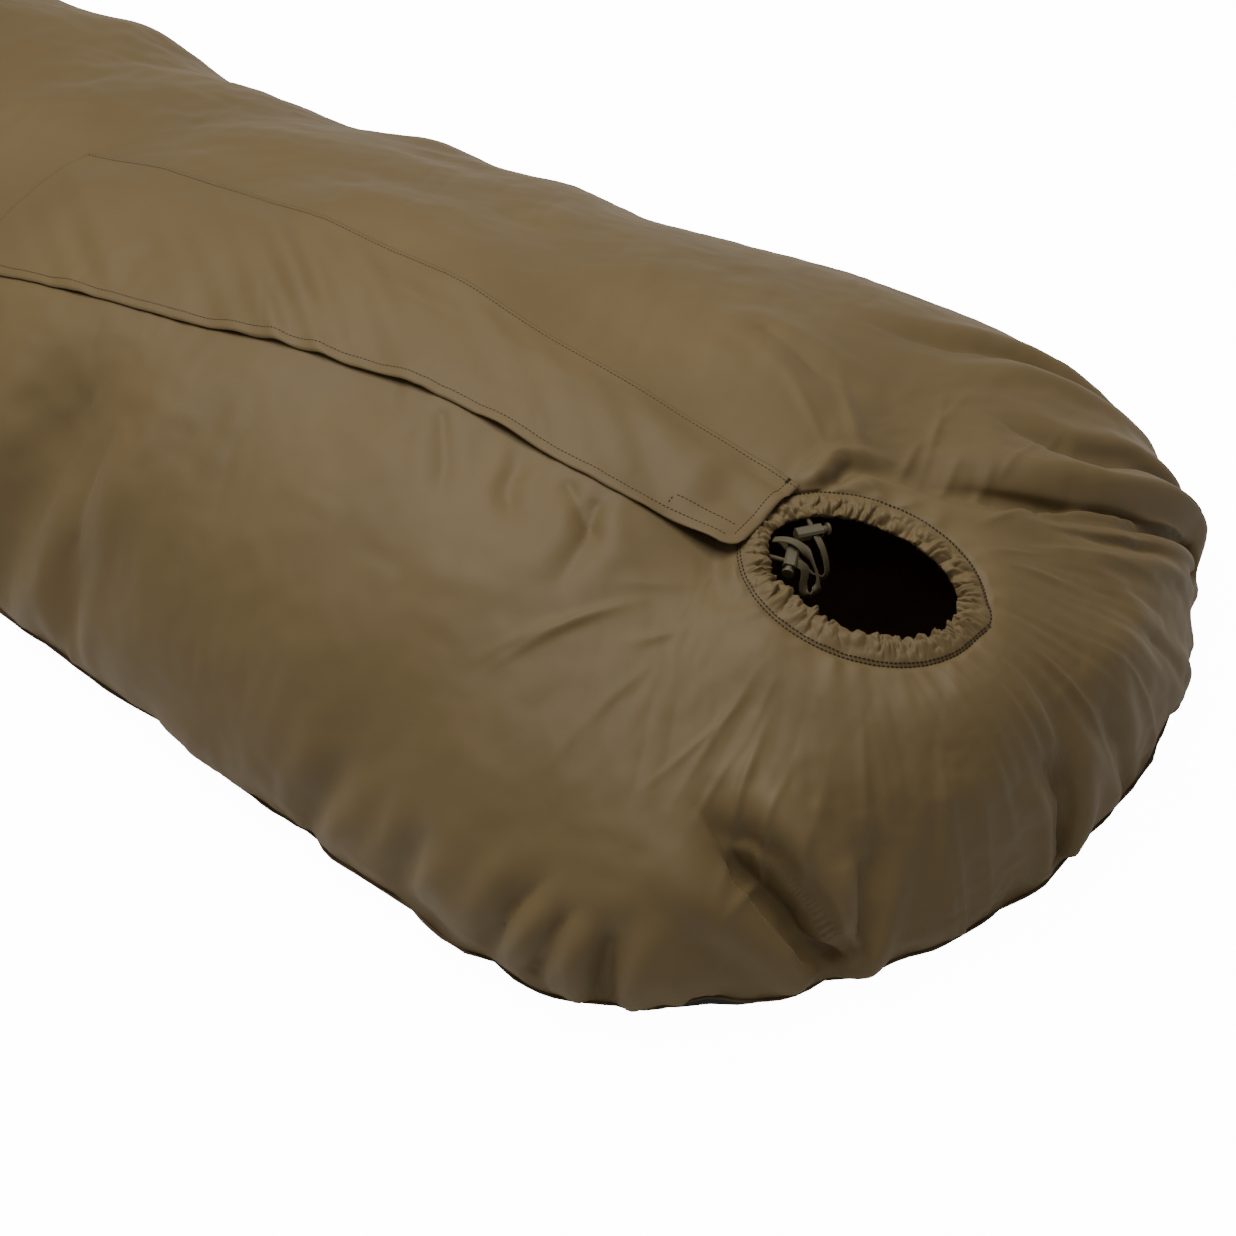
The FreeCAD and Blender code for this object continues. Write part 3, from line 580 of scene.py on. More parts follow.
def side_columns(side):
    """Outer and inner plan points of the columns of one side, -1 near or +1 far, and the first
    column that ends at the face opening."""
    outer = resample(FORM.outline(), COLUMNS + 1)
    outer[:, 1] *= -side
    inner = np.zeros_like(outer)
    step = np.arange(COLUMNS + 1)
    first = int(np.argmax(outer[:, 0] > SPINE_START))
    last = int(np.argmax(outer[:, 0] > HEAD_X))
    spine = (step >= first) & (step < last)
    x = np.interp(outer[:, 0], [outer[first, 0], outer[last, 0]], [SPINE_START, HEAD_X])
    gap = SLIT_HALF * smooth((x - SLIT_START) / (SLIT_FULL - SLIT_START))
    inner[spine, 0] = x[spine]
    inner[spine, 1] = FORM.middle(x[spine]) + side * gap[spine]
    foot = step < first
    turn = math.pi - (step[foot] / first) * math.pi / 2
    inner[foot, 0] = SPINE_START + 0.02 * np.cos(turn)
    inner[foot, 1] = FORM.middle(inner[foot, 0])
    head = step >= last
    part = (step[head] - last) / (COLUMNS - last)
    start = math.pi - math.asin(SLIT_HALF / CASING_HALF[1])
    angle = side * start * (1 - part)
    oval = oval_point(angle, CASING_HALF)
    inner[head] = oval[:, :2]
    return outer, inner, last


def shell_grid(side):
    """The points of one side: an array of rings by columns by three."""
    outer, inner, last = side_columns(side)
    dense = np.linspace(0, 1, DENSE_STEPS) ** 2
    x = outer[:, 0] + np.multiply.outer(dense, inner[:, 0] - outer[:, 0])
    y = outer[:, 1] + np.multiply.outer(dense, inner[:, 1] - outer[:, 1])
    z = FORM.height(x, y)
    inward = np.hypot(x - outer[:, 0], y - outer[:, 1])
    rise = np.sqrt(np.clip(1 - (1 - np.minimum(inward / SIDE_ROLL, 1)) ** 2, 0, 1))
    ends = smooth((np.abs(outer[:, 0]) - 1.05) / 0.06)
    z = SHELL_FOOT + (z - SHELL_FOOT) * (1 + ends * (rise - 1))
    z[0] = SHELL_FOOT
    made = np.zeros((RINGS, COLUMNS + 1, 3))
    for j in range(COLUMNS + 1):
        made[:, j] = resample(np.stack([x[:, j], y[:, j], z[:, j]], axis=1), RINGS)
    return made, last


# Creases in the shell: where each runs from the seam inwards, its half width, its depth, the height
# of its lips, and the side that stands proud, +1 left or -1 right of the way inwards, seen from outside.
CREASES = [
    ([(1.055, 0.25, 0.02), (1.035, 0.25, 0.045), (1.01, 0.177, 0.12), (0.978, 0.128, 0.15),
      (0.92, 0.08, 0.177), (0.85, 0.055, 0.197)], 0.013, 0.016, 0.006, -1),
    ([(1.05, 0.235, 0.03), (1.03, 0.16, 0.117), (1.00, 0.108, 0.148), (0.966, 0.075, 0.166)],
     0.009, 0.009, 0.004, -1),
    ([(1.02, 0.29, 0.03), (0.986, 0.252, 0.10), (0.964, 0.204, 0.133), (0.92, 0.178, 0.155),
      (0.875, 0.165, 0.17)], 0.012, 0.011, 0.004, 1),
    ([(0.95, 0.335, 0.03), (0.86, 0.275, 0.13), (0.833, 0.234, 0.154), (0.80, 0.205, 0.171),
      (0.75, 0.18, 0.187)], 0.013, 0.010, 0.004, 1),
    ([(1.045, -0.25, 0.02), (1.02, -0.26, 0.07), (0.99, -0.265, 0.10), (0.95, -0.265, 0.125),
      (0.92, -0.26, 0.14)], 0.016, 0.022, 0.008, 1),
    ([(1.05, -0.245, 0.02), (1.055, -0.22, 0.07), (1.045, -0.20, 0.10), (1.02, -0.19, 0.12)],
     0.010, 0.010, 0.004, 1),
    ([(1.118, -0.06, 0.01), (1.112, -0.045, 0.06), (1.10, -0.045, 0.09), (1.08, -0.05, 0.11)],
     0.011, 0.017, 0.006, -1),
    ([(1.12, 0.03, 0.01), (1.11, 0.02, 0.06), (1.085, 0.01, 0.11)], 0.010, 0.006, 0.003, 1),
    ([(1.09, 0.13, 0.02), (1.075, 0.10, 0.08), (1.04, 0.07, 0.13)], 0.009, 0.006, 0.003, 1),
    ([(0.31, -0.32, 0.02), (0.325, -0.30, 0.09), (0.34, -0.26, 0.14), (0.35, -0.20, 0.18),
      (0.36, -0.16, 0.20)], 0.026, 0.013, 0.004, 0),
    ([(0.40, -0.33, 0.02), (0.39, -0.30, 0.08), (0.385, -0.25, 0.15), (0.39, -0.20, 0.19)],
     0.013, 0.006, 0.003, 0),
    ([(0.61, -0.12, 0.23), (0.635, -0.15, 0.22), (0.66, -0.19, 0.21)], 0.007, 0.003, 0.001, 0),
    ([(0.68, -0.12, 0.227), (0.69, -0.15, 0.22), (0.72, -0.18, 0.20)], 0.007, 0.003, 0.001, 0),
    ([(0.72, -0.12, 0.222), (0.75, -0.14, 0.214), (0.79, -0.16, 0.20)], 0.006, 0.003, 0.001, 0),
    ([(0.75, -0.12, 0.217), (0.76, -0.15, 0.21), (0.77, -0.21, 0.19)], 0.009, 0.004, 0.001, 0),
    ([(0.867, -0.012, 0.198), (0.864, 0.03, 0.196), (0.88, 0.045, 0.191), (0.907, 0.072, 0.181)],
     0.007, 0.006, 0.003, 0),
    ([(0.73, 0.11, 0.209), (0.79, 0.10, 0.202), (0.84, 0.11, 0.19)], 0.012, 0.004, 0.002, 0),
    ([(0.83, -0.375, 0.02), (0.85, -0.355, 0.07), (0.87, -0.335, 0.10)], 0.010, 0.007, 0.003, 0),
    ([(0.87, -0.372, 0.02), (0.885, -0.352, 0.07), (0.90, -0.335, 0.09)], 0.008, 0.007, 0.003, 0),
    ([(0.65, -0.355, 0.02), (0.675, -0.345, 0.07), (0.68, -0.33, 0.11)], 0.012, 0.006, 0.003, 0),
    ([(0.74, -0.368, 0.02), (0.76, -0.356, 0.07), (0.77, -0.342, 0.09)], 0.010, 0.006, 0.003, 0),
    ([(0.92, -0.358, 0.01), (0.92, -0.345, 0.06), (0.915, -0.325, 0.09)], 0.010, 0.009, 0.004, 0),
]
CREASE_STEPS = 25        # points along each crease
CREASE_REACH = 0.32      # no crease matters further than this from its middle
FOLD_EDGE = 0.0017       # how round the drop of a sharp fold is


def along_line(points, line):
    """Each point's distance from a line of 3-D points, its share of the way along, its offset from
    the line and the line's direction there."""
    line = np.asarray(line, float)
    lengths = np.linalg.norm(np.diff(line, axis=0), axis=1)
    total = lengths.sum()
    best = np.full(len(points), 9.0)
    share = np.zeros(len(points))
    offset = np.zeros((len(points), 3))
    way = np.zeros((len(points), 3))
    start = 0.0
    for a, b, length in zip(line[:-1], line[1:], lengths):
        t = np.clip((points - a) @ (b - a) / length ** 2, 0, 1)
        apart = points - (a + np.multiply.outer(t, b - a))
        away = np.linalg.norm(apart, axis=1)
        closer = away < best
        best[closer] = away[closer]
        share[closer] = (start + t[closer] * length) / total
        offset[closer] = apart[closer]
        way[closer] = (b - a) / length
        start += length
    return best, share, offset, way


def crease_depths(points):
    """How far each point sinks for the creases, as soft valleys."""
    sink = np.zeros(len(points))
    for line, width, depth, lip, _ in CREASES:
        away, share, _, _ = along_line(points, resample(np.array(line), CREASE_STEPS))
        fade = 1 - smooth((share - 0.55) / 0.45)
        wide = width * (0.75 + 0.6 * share)
        sink += fade * depth * np.exp(-(away / wide) ** 2)
        sink -= fade * lip * np.exp(-((away - 2.1 * wide) / (0.9 * wide)) ** 2)
    return sink


def fold_heights(points, normals):
    """Sharp folds along the creases: one side stands proud and drops steeply to the other."""
    total = np.zeros(len(points))
    for line, width, depth, _, proud in CREASES:
        near = np.linalg.norm(points - np.mean(line, axis=0), axis=1) < CREASE_REACH
        spot, up = points[near], normals[near]
        away, share, offset, way = along_line(spot, resample(np.array(line), CREASE_STEPS))
        fade = 1 - smooth((share - 0.45) / 0.55)
        if proud:
            left = np.cross(up, way)
            signed = np.sum(offset * left, axis=1) * proud
            over = 0.5 + 0.5 * np.tanh(signed / FOLD_EDGE)
            step = over * 0.48 * depth * np.exp(-np.maximum(signed, 0) / (1.5 * width))
            step -= (1 - over) * 0.56 * depth * np.exp(np.minimum(signed, 0) / (0.9 * width))
            step *= np.exp(-((away - np.abs(signed)) / width) ** 2)
        else:
            step = -0.80 * depth * np.exp(-2.4 * away / width)
        total[near] += fade * smooth(share / 0.06) * step
    return total


def pucker_heights(s, up, seed, pitch, reach, tall):
    """Short gathers that stand up from the sewn edge; s runs along it, up is the way from it."""
    rng = np.random.default_rng(seed)
    total = np.zeros(len(s))
    place = rng.uniform(0, pitch)
    while place < s.max():
        wide = pitch * rng.uniform(0.22, 0.42)
        height = tall * rng.uniform(0.4, 1.25)
        long = reach * rng.uniform(0.45, 1.4)
        lean = rng.uniform(-0.45, 0.45)
        centre = place + lean * up
        fade = np.exp(-(up / long) ** 1.6)
        total += height * fade * np.exp(-((s - centre) / (wide * (1 + up / long * 0.8))) ** 2)
        place += pitch * rng.uniform(0.55, 1.5)
    return total


SEAM_RISES = [(-1, 0.985, 0.030, 0.010), (-1, 1.075, 0.012, 0.006), (-1, 0.700, 0.030, 0.004),
              (+1, 0.800, 0.050, 0.008), (+1, -0.300, 0.080, 0.008), (-1, -0.500, 0.070, 0.008)]


def seam_rise(x, y):
    """How high the sewn edge is pulled off the ground: side, place along X, spread and height."""
    total = np.zeros(len(x))
    for side, place, spread, height in SEAM_RISES:
        total += height * np.exp(-((x - place) / spread) ** 2) * (np.sign(y) == side)
    return total


# Notches where a fold pulls the near seam inwards: place along X, spread and depth.
SEAM_NOTCHES = [(0.500, 0.014, 0.004), (0.655, 0.016, 0.008), (0.830, 0.014, 0.008), (0.925, 0.010, 0.005),
                (1.042, 0.010, 0.008), (1.110, 0.006, 0.004)]


def seam_notches(x, y):
    """How far the listed folds pull the sewn edge inwards."""
    total = np.zeros(len(x))
    for place, spread, depth in SEAM_NOTCHES:
        total += depth * np.exp(-np.abs((x - place) / spread) ** 1.5) * (y < 0)
    return total


def seam_waves(along):
    """How far the sewn edge wanders inwards, from gathers along it."""
    notches = pucker_heights(along, np.zeros(len(along)), 23, 0.075, 0.05, 0.0030)
    return notches + 0.0016 + 0.0022 * cloud(along[:, None], 0.16, 31)


TUCK = 0.007         # the sewn edge lies this far in under the bulge
FLOOR_INSET = 0.004  # the floor sheet leaves the ground this far inside the sewn edge


def far_sag(x, y):
    """The far flank is slacker than the near one, most where the bag narrows behind the chest."""
    across = smooth((y - 0.02) / 0.20)
    along = 0.08 * smooth((x + 0.1) / 0.4) + 0.17 * smooth((0.78 - x) / 0.33) * smooth((x + 0.15) / 0.4)
    return 1 - along * across


class Shell:
    """The shell's grid: its points, which ring and column each is in, and what is held."""

    def __init__(self):
        near, last = shell_grid(-1)
        far, _ = shell_grid(+1)
        grid = np.concatenate([near, far[:, -2:0:-1]], axis=1)
        self.cols = grid.shape[1]
        grid[:, :, 2] = SHELL_FOOT + (grid[:, :, 2] - SHELL_FOOT) * far_sag(grid[:, :, 0], grid[:, :, 1])
        self.along_edge = distances(np.vstack([grid[0], grid[0, :1]]))[:self.cols]
        self.gather_edge(grid)
        index = self.number_points(grid)
        self.measure(grid)
        self.find_open_edge(index, last)
        self.add_faces()

    def gather_edge(self, grid):
        """Moves the sewn edge and the rings near it in and up, where the cloth is gathered."""
        along = self.along_edge
        inward = grid[RINGS // 3] - grid[0]
        inward[:, 2] = 0
        inward = unit(inward)
        rise = seam_rise(grid[0, :, 0], grid[0, :, 1])
        waves = seam_waves(along) + seam_notches(grid[0, :, 0], grid[0, :, 1])
        self.ground = grid[0] + inward * waves[:, None] + inward * (TUCK + FLOOR_INSET)
        moved = inward * (waves + 0.25 * rise)[:, None]
        moved[:, 2] = rise
        for i in range(RINGS):
            grid[i] += moved * math.exp(-(i / 5.0) ** 2)
            grid[i] += inward * (TUCK * math.exp(-(i / 2.0) ** 1.5))
        self.inward = inward
        self.outer_now = grid[0].copy()

    def number_points(self, grid):
        """Numbers the points; where the two sides meet along the zip line, they share one."""
        index = np.arange(RINGS * self.cols).reshape(RINGS, self.cols)
        top = RINGS - 1
        for j in range(1, COLUMNS):
            mirror = 2 * COLUMNS - j
            if np.linalg.norm(grid[top, j] - grid[top, mirror]) < 0.0006:
                index[top, mirror] = index[top, j]
        self.kept, self.index = np.unique(index, return_inverse=True)
        self.index = self.index.reshape(index.shape)
        self.points = grid.reshape(-1, 3)[self.kept]
        return index

    def measure(self, grid):
        """Each point's ring, its place along the sewn edge, and how far up and down the cloth it is."""
        ring, column = np.meshgrid(np.arange(RINGS), np.arange(self.cols), indexing="ij")
        self.ring = ring.ravel()[self.kept]
        self.along = self.along_edge[column.ravel()[self.kept]]
        rise = np.cumsum(np.r_[np.zeros((1, self.cols)),
                               np.linalg.norm(np.diff(grid, axis=0), axis=2)], axis=0)
        self.up = rise.ravel()[self.kept]
        self.down = (rise[-1] - rise).ravel()[self.kept]

    def find_open_edge(self, index, last):
        """Marks the points along the zip's slit and round the face opening."""
        top = RINGS - 1
        self.open_edge = np.zeros(len(self.points), bool)
        for j in range(self.cols):
            mirror = (2 * COLUMNS - j) % self.cols
            alone = index[top, j] == top * self.cols + j and index[top, mirror] != index[top, j]
            if alone or last <= j <= 2 * COLUMNS - last:
                self.open_edge[self.index[top, j]] = True

    def add_faces(self):
        """The quads between the rings, with triangles where two corners are one point."""
        self.faces = []
        for i in range(RINGS - 1):
            for j in range(self.cols):
                k = (j + 1) % self.cols
                quad = [self.index[i, j], self.index[i, k], self.index[i + 1, k], self.index[i + 1, j]]
                quad = [q for n, q in enumerate(quad) if q != quad[n - 1]]
                if len(quad) > 2:
                    self.faces.append(quad)


def weigh(piece, name, weights):
    """A vertex group from an array of weights."""
    group = piece.vertex_groups.new(name=name)
    rounded = np.round(weights, 2)
    for value in np.unique(rounded):
        group.add([int(k) for k in np.nonzero(rounded == value)[0]], float(value), "REPLACE")


CLOTH_FRAMES = 24
CLOTH_STIFFNESS = 12.0
CLOTH_BENDING = 0.4
CLOTH_DAMPING = 8.0


def inflate(piece, hold, spare, pressure, least, most):
    """Fills a sheet with air: hold says how firmly each point keeps its place, and spare where
    the cloth has the most length to spare."""
    weigh(piece, "hold", hold)
    weigh(piece, "spare", spare)
    cloth = piece.modifiers.new("Cloth", "CLOTH")
    rules = cloth.settings
    rules.quality = 6
    rules.mass = 0.1
    rules.air_damping = 4.0
    rules.tension_stiffness = CLOTH_STIFFNESS
    rules.compression_stiffness = CLOTH_STIFFNESS
    rules.shear_stiffness = CLOTH_STIFFNESS * 0.4
    rules.bending_stiffness = CLOTH_BENDING
    rules.tension_damping = CLOTH_DAMPING
    rules.compression_damping = CLOTH_DAMPING
    rules.shear_damping = CLOTH_DAMPING
    rules.bending_damping = 1.0
    rules.vertex_group_mass = "hold"
    rules.pin_stiffness = 1.0
    rules.use_pressure = True
    rules.uniform_pressure_force = pressure
    rules.vertex_group_shrink = "spare"
    rules.shrink_min = -least
    rules.shrink_max = -most
    rules.effector_weights.gravity = 0.0
    cloth.collision_settings.use_collision = False
    cloth.collision_settings.use_self_collision = False
    cloth.point_cache.frame_start = 1
    cloth.point_cache.frame_end = CLOTH_FRAMES
    scene = bpy.context.scene
    for step in range(1, CLOTH_FRAMES + 1):
        scene.frame_set(step)
    apply_modifiers(piece)
    piece.vertex_groups.clear()
    scene.frame_set(1)


def take_layer(piece, name):
    """The values of one of a mesh's layers, which is then removed."""
    found = np.zeros(len(piece.data.vertices), np.float32)
    piece.data.attributes[name].data.foreach_get("value", found)
    piece.data.attributes.remove(piece.data.attributes[name])
    return found.astype(float)


def drag_lines(points):
    """Long thin ridges that run out from the face opening, where its drawcord pulls the cloth."""
    rng = np.random.default_rng(61)
    ahead = points[:, 0] - FACE_CENTRE.x
    across = points[:, 1] - FACE_CENTRE.y
    turn, radius = np.arctan2(across, ahead), np.hypot(ahead, across)
    total = np.zeros(len(points))
    for _ in range(40):
        angle, bend = rng.uniform(-2.4, 2.4), rng.normal(0, 0.8)
        first, long = rng.uniform(0.085, 0.15), rng.uniform(0.05, 0.16)
        wide, tall = rng.uniform(0.0025, 0.0055), rng.uniform(0.0010, 0.0028)
        offset = (turn - angle - bend * (radius - first)) * radius
        total += tall * np.exp(-np.abs(offset / wide) ** 1.5) * bump((radius - first - long / 2) / (long / 2))
    return total


def add_fine_folds(piece):
    """Sharper creases and small gathers, on the finer mesh."""
    points, normals = points_of(piece), normals_of(piece)
    along, up, down = (take_layer(piece, name) for name in ("along", "up", "down"))
    by_seam = smooth(up / 0.010)
    by_zip = smooth(down / 0.03)
    folds = fold_heights(points, normals) * by_seam * by_zip
    bunched = smooth(0.45 + 0.7 * cloud(along[:, None], 0.30, 40))
    gathers = pucker_heights(along, up, 41, 0.026, 0.065, 0.0032) * (0.35 + 0.65 * bunched)
    gathers += pucker_heights(along, up, 43, 0.012, 0.026, 0.0013) * bunched
    across = points[:, 1] - FACE_CENTRE.y
    turn = np.arctan2(across, points[:, 0] - FACE_CENTRE.x)
    ahead = points[:, 0] > FACE_CENTRE.x - CASING_HALF[0]
    rays = pucker_heights((turn + math.pi) * 0.085, down, 53, 0.017, 0.036, 0.0024) * ahead
    head = smooth((points[:, 0] - 0.92) / 0.12)
    streak = cloud(np.stack([along, up * 0.14], axis=1), 0.020, 47) ** 3
    middle = bump((up - 0.13) / 0.12)
    relief = gathers * by_seam * smooth(down / 0.05) + folds + rays * smooth(down / 0.006)
    relief += drag_lines(points) * by_seam * smooth(down / 0.01)
    relief += 0.0003 * np.clip(streak, -2, 2) * (0.1 + 0.9 * head) * middle
    slant = np.stack([points[:, 0] + 0.5 * points[:, 1], 0.35 * points[:, 1], 0.5 * points[:, 2]], axis=1)
    crumple = np.abs(cloud(slant, 0.030, 49)) - 0.6
    patches = smooth(0.2 + 0.8 * cloud(points, 0.16, 50))
    relief += 0.0004 * crumple * patches * by_zip * by_seam
    move_points(piece, points + normals * relief[:, None])


def add_shell():
    """The whole upper shell as one cloth, filled with air and then creased."""
    shell = Shell()
    piece = add_mesh("shell", shell.points, shell.faces, SHELL_CLOTH)
    normals = normals_of(piece)
    if normals[np.argmax(shell.points[:, 2]), 2] < 0:
        piece.data.flip_normals()
        normals = normals_of(piece)
    ease = smooth(shell.up / 0.012) * smooth(shell.down / 0.03)
    sink = 1.25 * crease_depths(shell.points)
    lift = pucker_heights(shell.along, shell.up, 5, 0.070, 0.080, 0.0032)
    lift = lift * smooth(shell.up / 0.02)
    wave = 0.0035 * cloud(shell.points, 0.16, 11)
    move_points(piece, shell.points + normals * ((lift - sink + wave) * ease)[:, None])
    by_zip = bump(shell.down / 0.14) * smooth((shell.points[:, 0] - 0.05) / 0.1)
    hold = 0.08 + 0.5 * by_zip
    hold[shell.ring == 0] = 1.0
    hold[shell.open_edge] = 1.0
    spare = bump(shell.up / 0.20) * (1 - by_zip)
    inflate(piece, hold, spare, pressure=0.9, least=0.003, most=0.040)
    for name, values in (("along", shell.along), ("up", shell.up), ("down", shell.down)):
        layer = piece.data.attributes.new(name, "FLOAT", "POINT")
        layer.data.foreach_set("value", values.astype(np.float32))
    subdivide(piece, 2)
    add_fine_folds(piece)
    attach(piece, "bag")
    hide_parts("near_side_panel", "far_side_panel")
    return piece, shell


SHELL, GRID = add_shell()

# ---------------------------------------------------------------- sewn details


def slab(name, top, bottom, material):
    """A closed thin sheet between two grids of rows by columns by three."""
    rows, cols = top.shape[:2]
    points = np.vstack([top.reshape(-1, 3), bottom.reshape(-1, 3)])
    count = rows * cols
    faces = grid_faces(rows, cols)
    faces += [tuple(count + k for k in reversed(f)) for f in grid_faces(rows, cols)]
    rim = [j for j in range(cols)] + [i * cols + cols - 1 for i in range(1, rows)]
    rim += [(rows - 1) * cols + j for j in range(cols - 2, -1, -1)]
    rim += [i * cols for i in range(rows - 2, 0, -1)]
    for a, b in zip(rim, rim[1:] + rim[:1]):
        faces.append((b, a, count + a, count + b))
    return add_mesh(name, points, faces, material)


def stitches(name, lines, pitch=0.0032, long=0.0027, wide=0.00034, proud=0.0002):
    """Short threads along lines; each line is (points, normals)."""
    points, faces = [], []
    ring = [(math.cos(a), math.sin(a)) for a in (0.0, 1.571, 3.1416, 4.712)]
    for line, normals in lines:
        line, normals = np.asarray(line), np.asarray(normals)
        length = distances(line)
        for at in np.arange(pitch / 2, length[-1] - long, pitch):
            ends = [np.array([np.interp(at + d, length, line[:, k]) for k in range(3)])
                    for d in np.linspace(0, long, 5)]
            up = np.array([np.interp(at, length, normals[:, k]) for k in range(3)])
            up /= np.linalg.norm(up) + 1e-12
            way = ends[-1] - ends[0]
            side = np.cross(way, up)
            side /= np.linalg.norm(side) + 1e-12
            base = len(points)
            for n, (place, size) in enumerate(zip(ends, (0.35, 0.9, 1.0, 0.9, 0.35))):
                centre = place + up * (proud * (1 if 0 < n < 4 else -1.2))
                points += [centre + side * (c * wide * size) + up * (s * wide * 0.7 * size) for c, s in ring]
            for n in range(4):
                for k in range(4):
                    m = (k + 1) % 4
                    a = base + 4 * n
                    faces.append((a + k, a + m, a + 4 + m, a + 4 + k))
            faces.append((base + 3, base + 2, base + 1, base))
            faces.append((base + 16, base + 17, base + 18, base + 19))
    return add_mesh(name, points, faces, THREAD)


def grid_normals(grid):
    """Upward normals of a grid of points."""
    along = np.gradient(grid, axis=0)
    across = np.gradient(grid, axis=1)
    found = np.cross(along, across)
    found /= np.linalg.norm(found, axis=2)[:, :, None] + 1e-12
    return found * np.where(found[:, :, 2:] < 0, -1, 1)


# ---------------------------------------------------------------- storm flap

FLAP_ROWS, FLAP_COLS = 330, 48
FLAP_GAUGE = 0.0008
FLAP_CLEARANCE = 0.0017     # over the shell
HEM = 0.011
HEM_EDGE = 0.0012           # over which the hem's thickness fades, and the flap's rim is rounded
STITCH_FROM_END, STITCH_FROM_FREE, STITCH_FROM_SEWN = 0.0085, 0.008, 0.004
BOX_START, BOX_FROM_FREE = 0.790, 0.020


def flap_free_y(x):
    """The free edge's place across the bag, with the rounded corner and the narrower end."""
    narrowing = 0.013 * smooth((x - 0.74) / 0.11) - 0.042 * smooth((0.66 - x) / 0.42)
    into = np.clip((x - (FLAP_END - FLAP_CORNER)) / FLAP_CORNER, 0, 1)
    return FLAP_FREE_Y + narrowing + FLAP_CORNER * (1 - np.sqrt(np.clip(1 - into ** 2, 0, 1)))


def flap_sewn_y(x):
    """The sewn edge's place across the bag: it drifts to the far side towards the foot."""
    return FLAP_SEWN_Y + 0.017 * smooth((0.70 - x) / 0.30)


# Room for the raised outer pull at the slider's two stops: place along X, spread and height.
SLIDER_STOPS = ((0.797, 0.022, 0.0024), (0.212, 0.03, 0.0034))


def flap_middle(x, t):
    """The flap's middle surface: t runs from 0 at the sewn edge to 1 at the free edge."""
    y = flap_sewn_y(x) + (flap_free_y(x) - flap_sewn_y(x)) * t
    arc = PIVOT_Z + np.sqrt(ARC_RADIUS ** 2 - (x - PIVOT_X) ** 2)
    body = np.minimum(FORM.height(x, y), arc + 0.002)
    flat = np.stack([x.ravel(), y.ravel()], axis=1)
    edge_wave = cloud(flat[:, :1], 0.085, 71).reshape(x.shape)
    over_zip = 0.0100 - 0.0036 * smooth((0.76 - x) / 0.1)
    for place, spread, rise in SLIDER_STOPS:
        over_zip = over_zip + rise * bump((x - place) / spread)
    free = np.clip(0.0024 + 0.0020 * edge_wave, 0.0008, 0.0056)
    lift = np.where(t < 0.35, 0.0008 + (over_zip - 0.0008) * smooth(t / 0.33),
                    over_zip + (free - over_zip) * smooth((t - 0.35) / 0.65))
    slant = np.stack([x.ravel() + y.ravel() * 1.3, y.ravel() * 0.35], axis=1)
    rumple = cloud(slant, 0.055, 72).reshape(x.shape)
    where = 0.35 + bump((x - 0.47) / 0.16) + 0.7 * bump((x - 0.30) / 0.10)
    lift = lift + 0.0015 * rumple * where * smooth(t / 0.25)
    plane = FACE_CENTRE.z - (x - FACE_CENTRE.x) * math.tan(FACE_TILT)
    over_casing = plane + 0.0078
    z = body + lift
    z = np.where(x > 0.80, np.maximum(z, z + (over_casing - z) * smooth((x - 0.80) / 0.035)), z)
    return np.stack([x, y, z], axis=-1)


def clear_of_shell(grid, gap):
    """Lifts a grid's points until they clear the shell below them."""
    mesh = SHELL.data
    tree = BVHTree.FromPolygons([v.co for v in mesh.vertices], [tuple(f.vertices) for f in mesh.polygons])
    need = np.zeros(grid.shape[:2])
    for i in range(grid.shape[0]):
        for j in range(grid.shape[1]):
            x, y, z = grid[i, j]
            hit = tree.ray_cast(Vector((x, y, 0.5)), Vector((0, 0, -1)), 0.45)[0]
            if hit is not None:
                need[i, j] = max(0.0, hit.z + gap - z)
    for _ in range(6):
        spread = need.copy()
        spread[1:] = np.maximum(spread[1:], need[:-1] * 0.93)
        spread[:-1] = np.maximum(spread[:-1], need[1:] * 0.93)
        spread[:, 1:] = np.maximum(spread[:, 1:], need[:, :-1] * 0.85)
        spread[:, :-1] = np.maximum(spread[:, :-1], need[:, 1:] * 0.85)
        need = spread
    lifted = grid.copy()
    lifted[:, :, 2] += need
    return lifted


def row_line(grid, share):
    """The line over a grid's rows at a share of the way along each."""
    place = np.clip(share, 0, 1) * (grid.shape[1] - 1)
    low = np.minimum(place.astype(int), grid.shape[1] - 2)
    part = (place - low)[:, None]
    rows = np.arange(grid.shape[0])
    return grid[rows, low] * (1 - part) + grid[rows, low + 1] * part


def add_bartack(top, normal, row, share):
    """A short bar of close threads that tacks the end of the sewn edge to the shell."""
    shares = share[:, None] * np.linspace(0.1, 1.3, 9)
    lines = [(row_line(top, at)[row - 1:row + 2], row_line(normal, at)[row - 1:row + 2])
             for at in shares.T]
    piece = stitches("flap_bartack", lines, pitch=0.0008, long=0.0024, wide=0.0004, proud=0.0003)
    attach(piece, "bag")


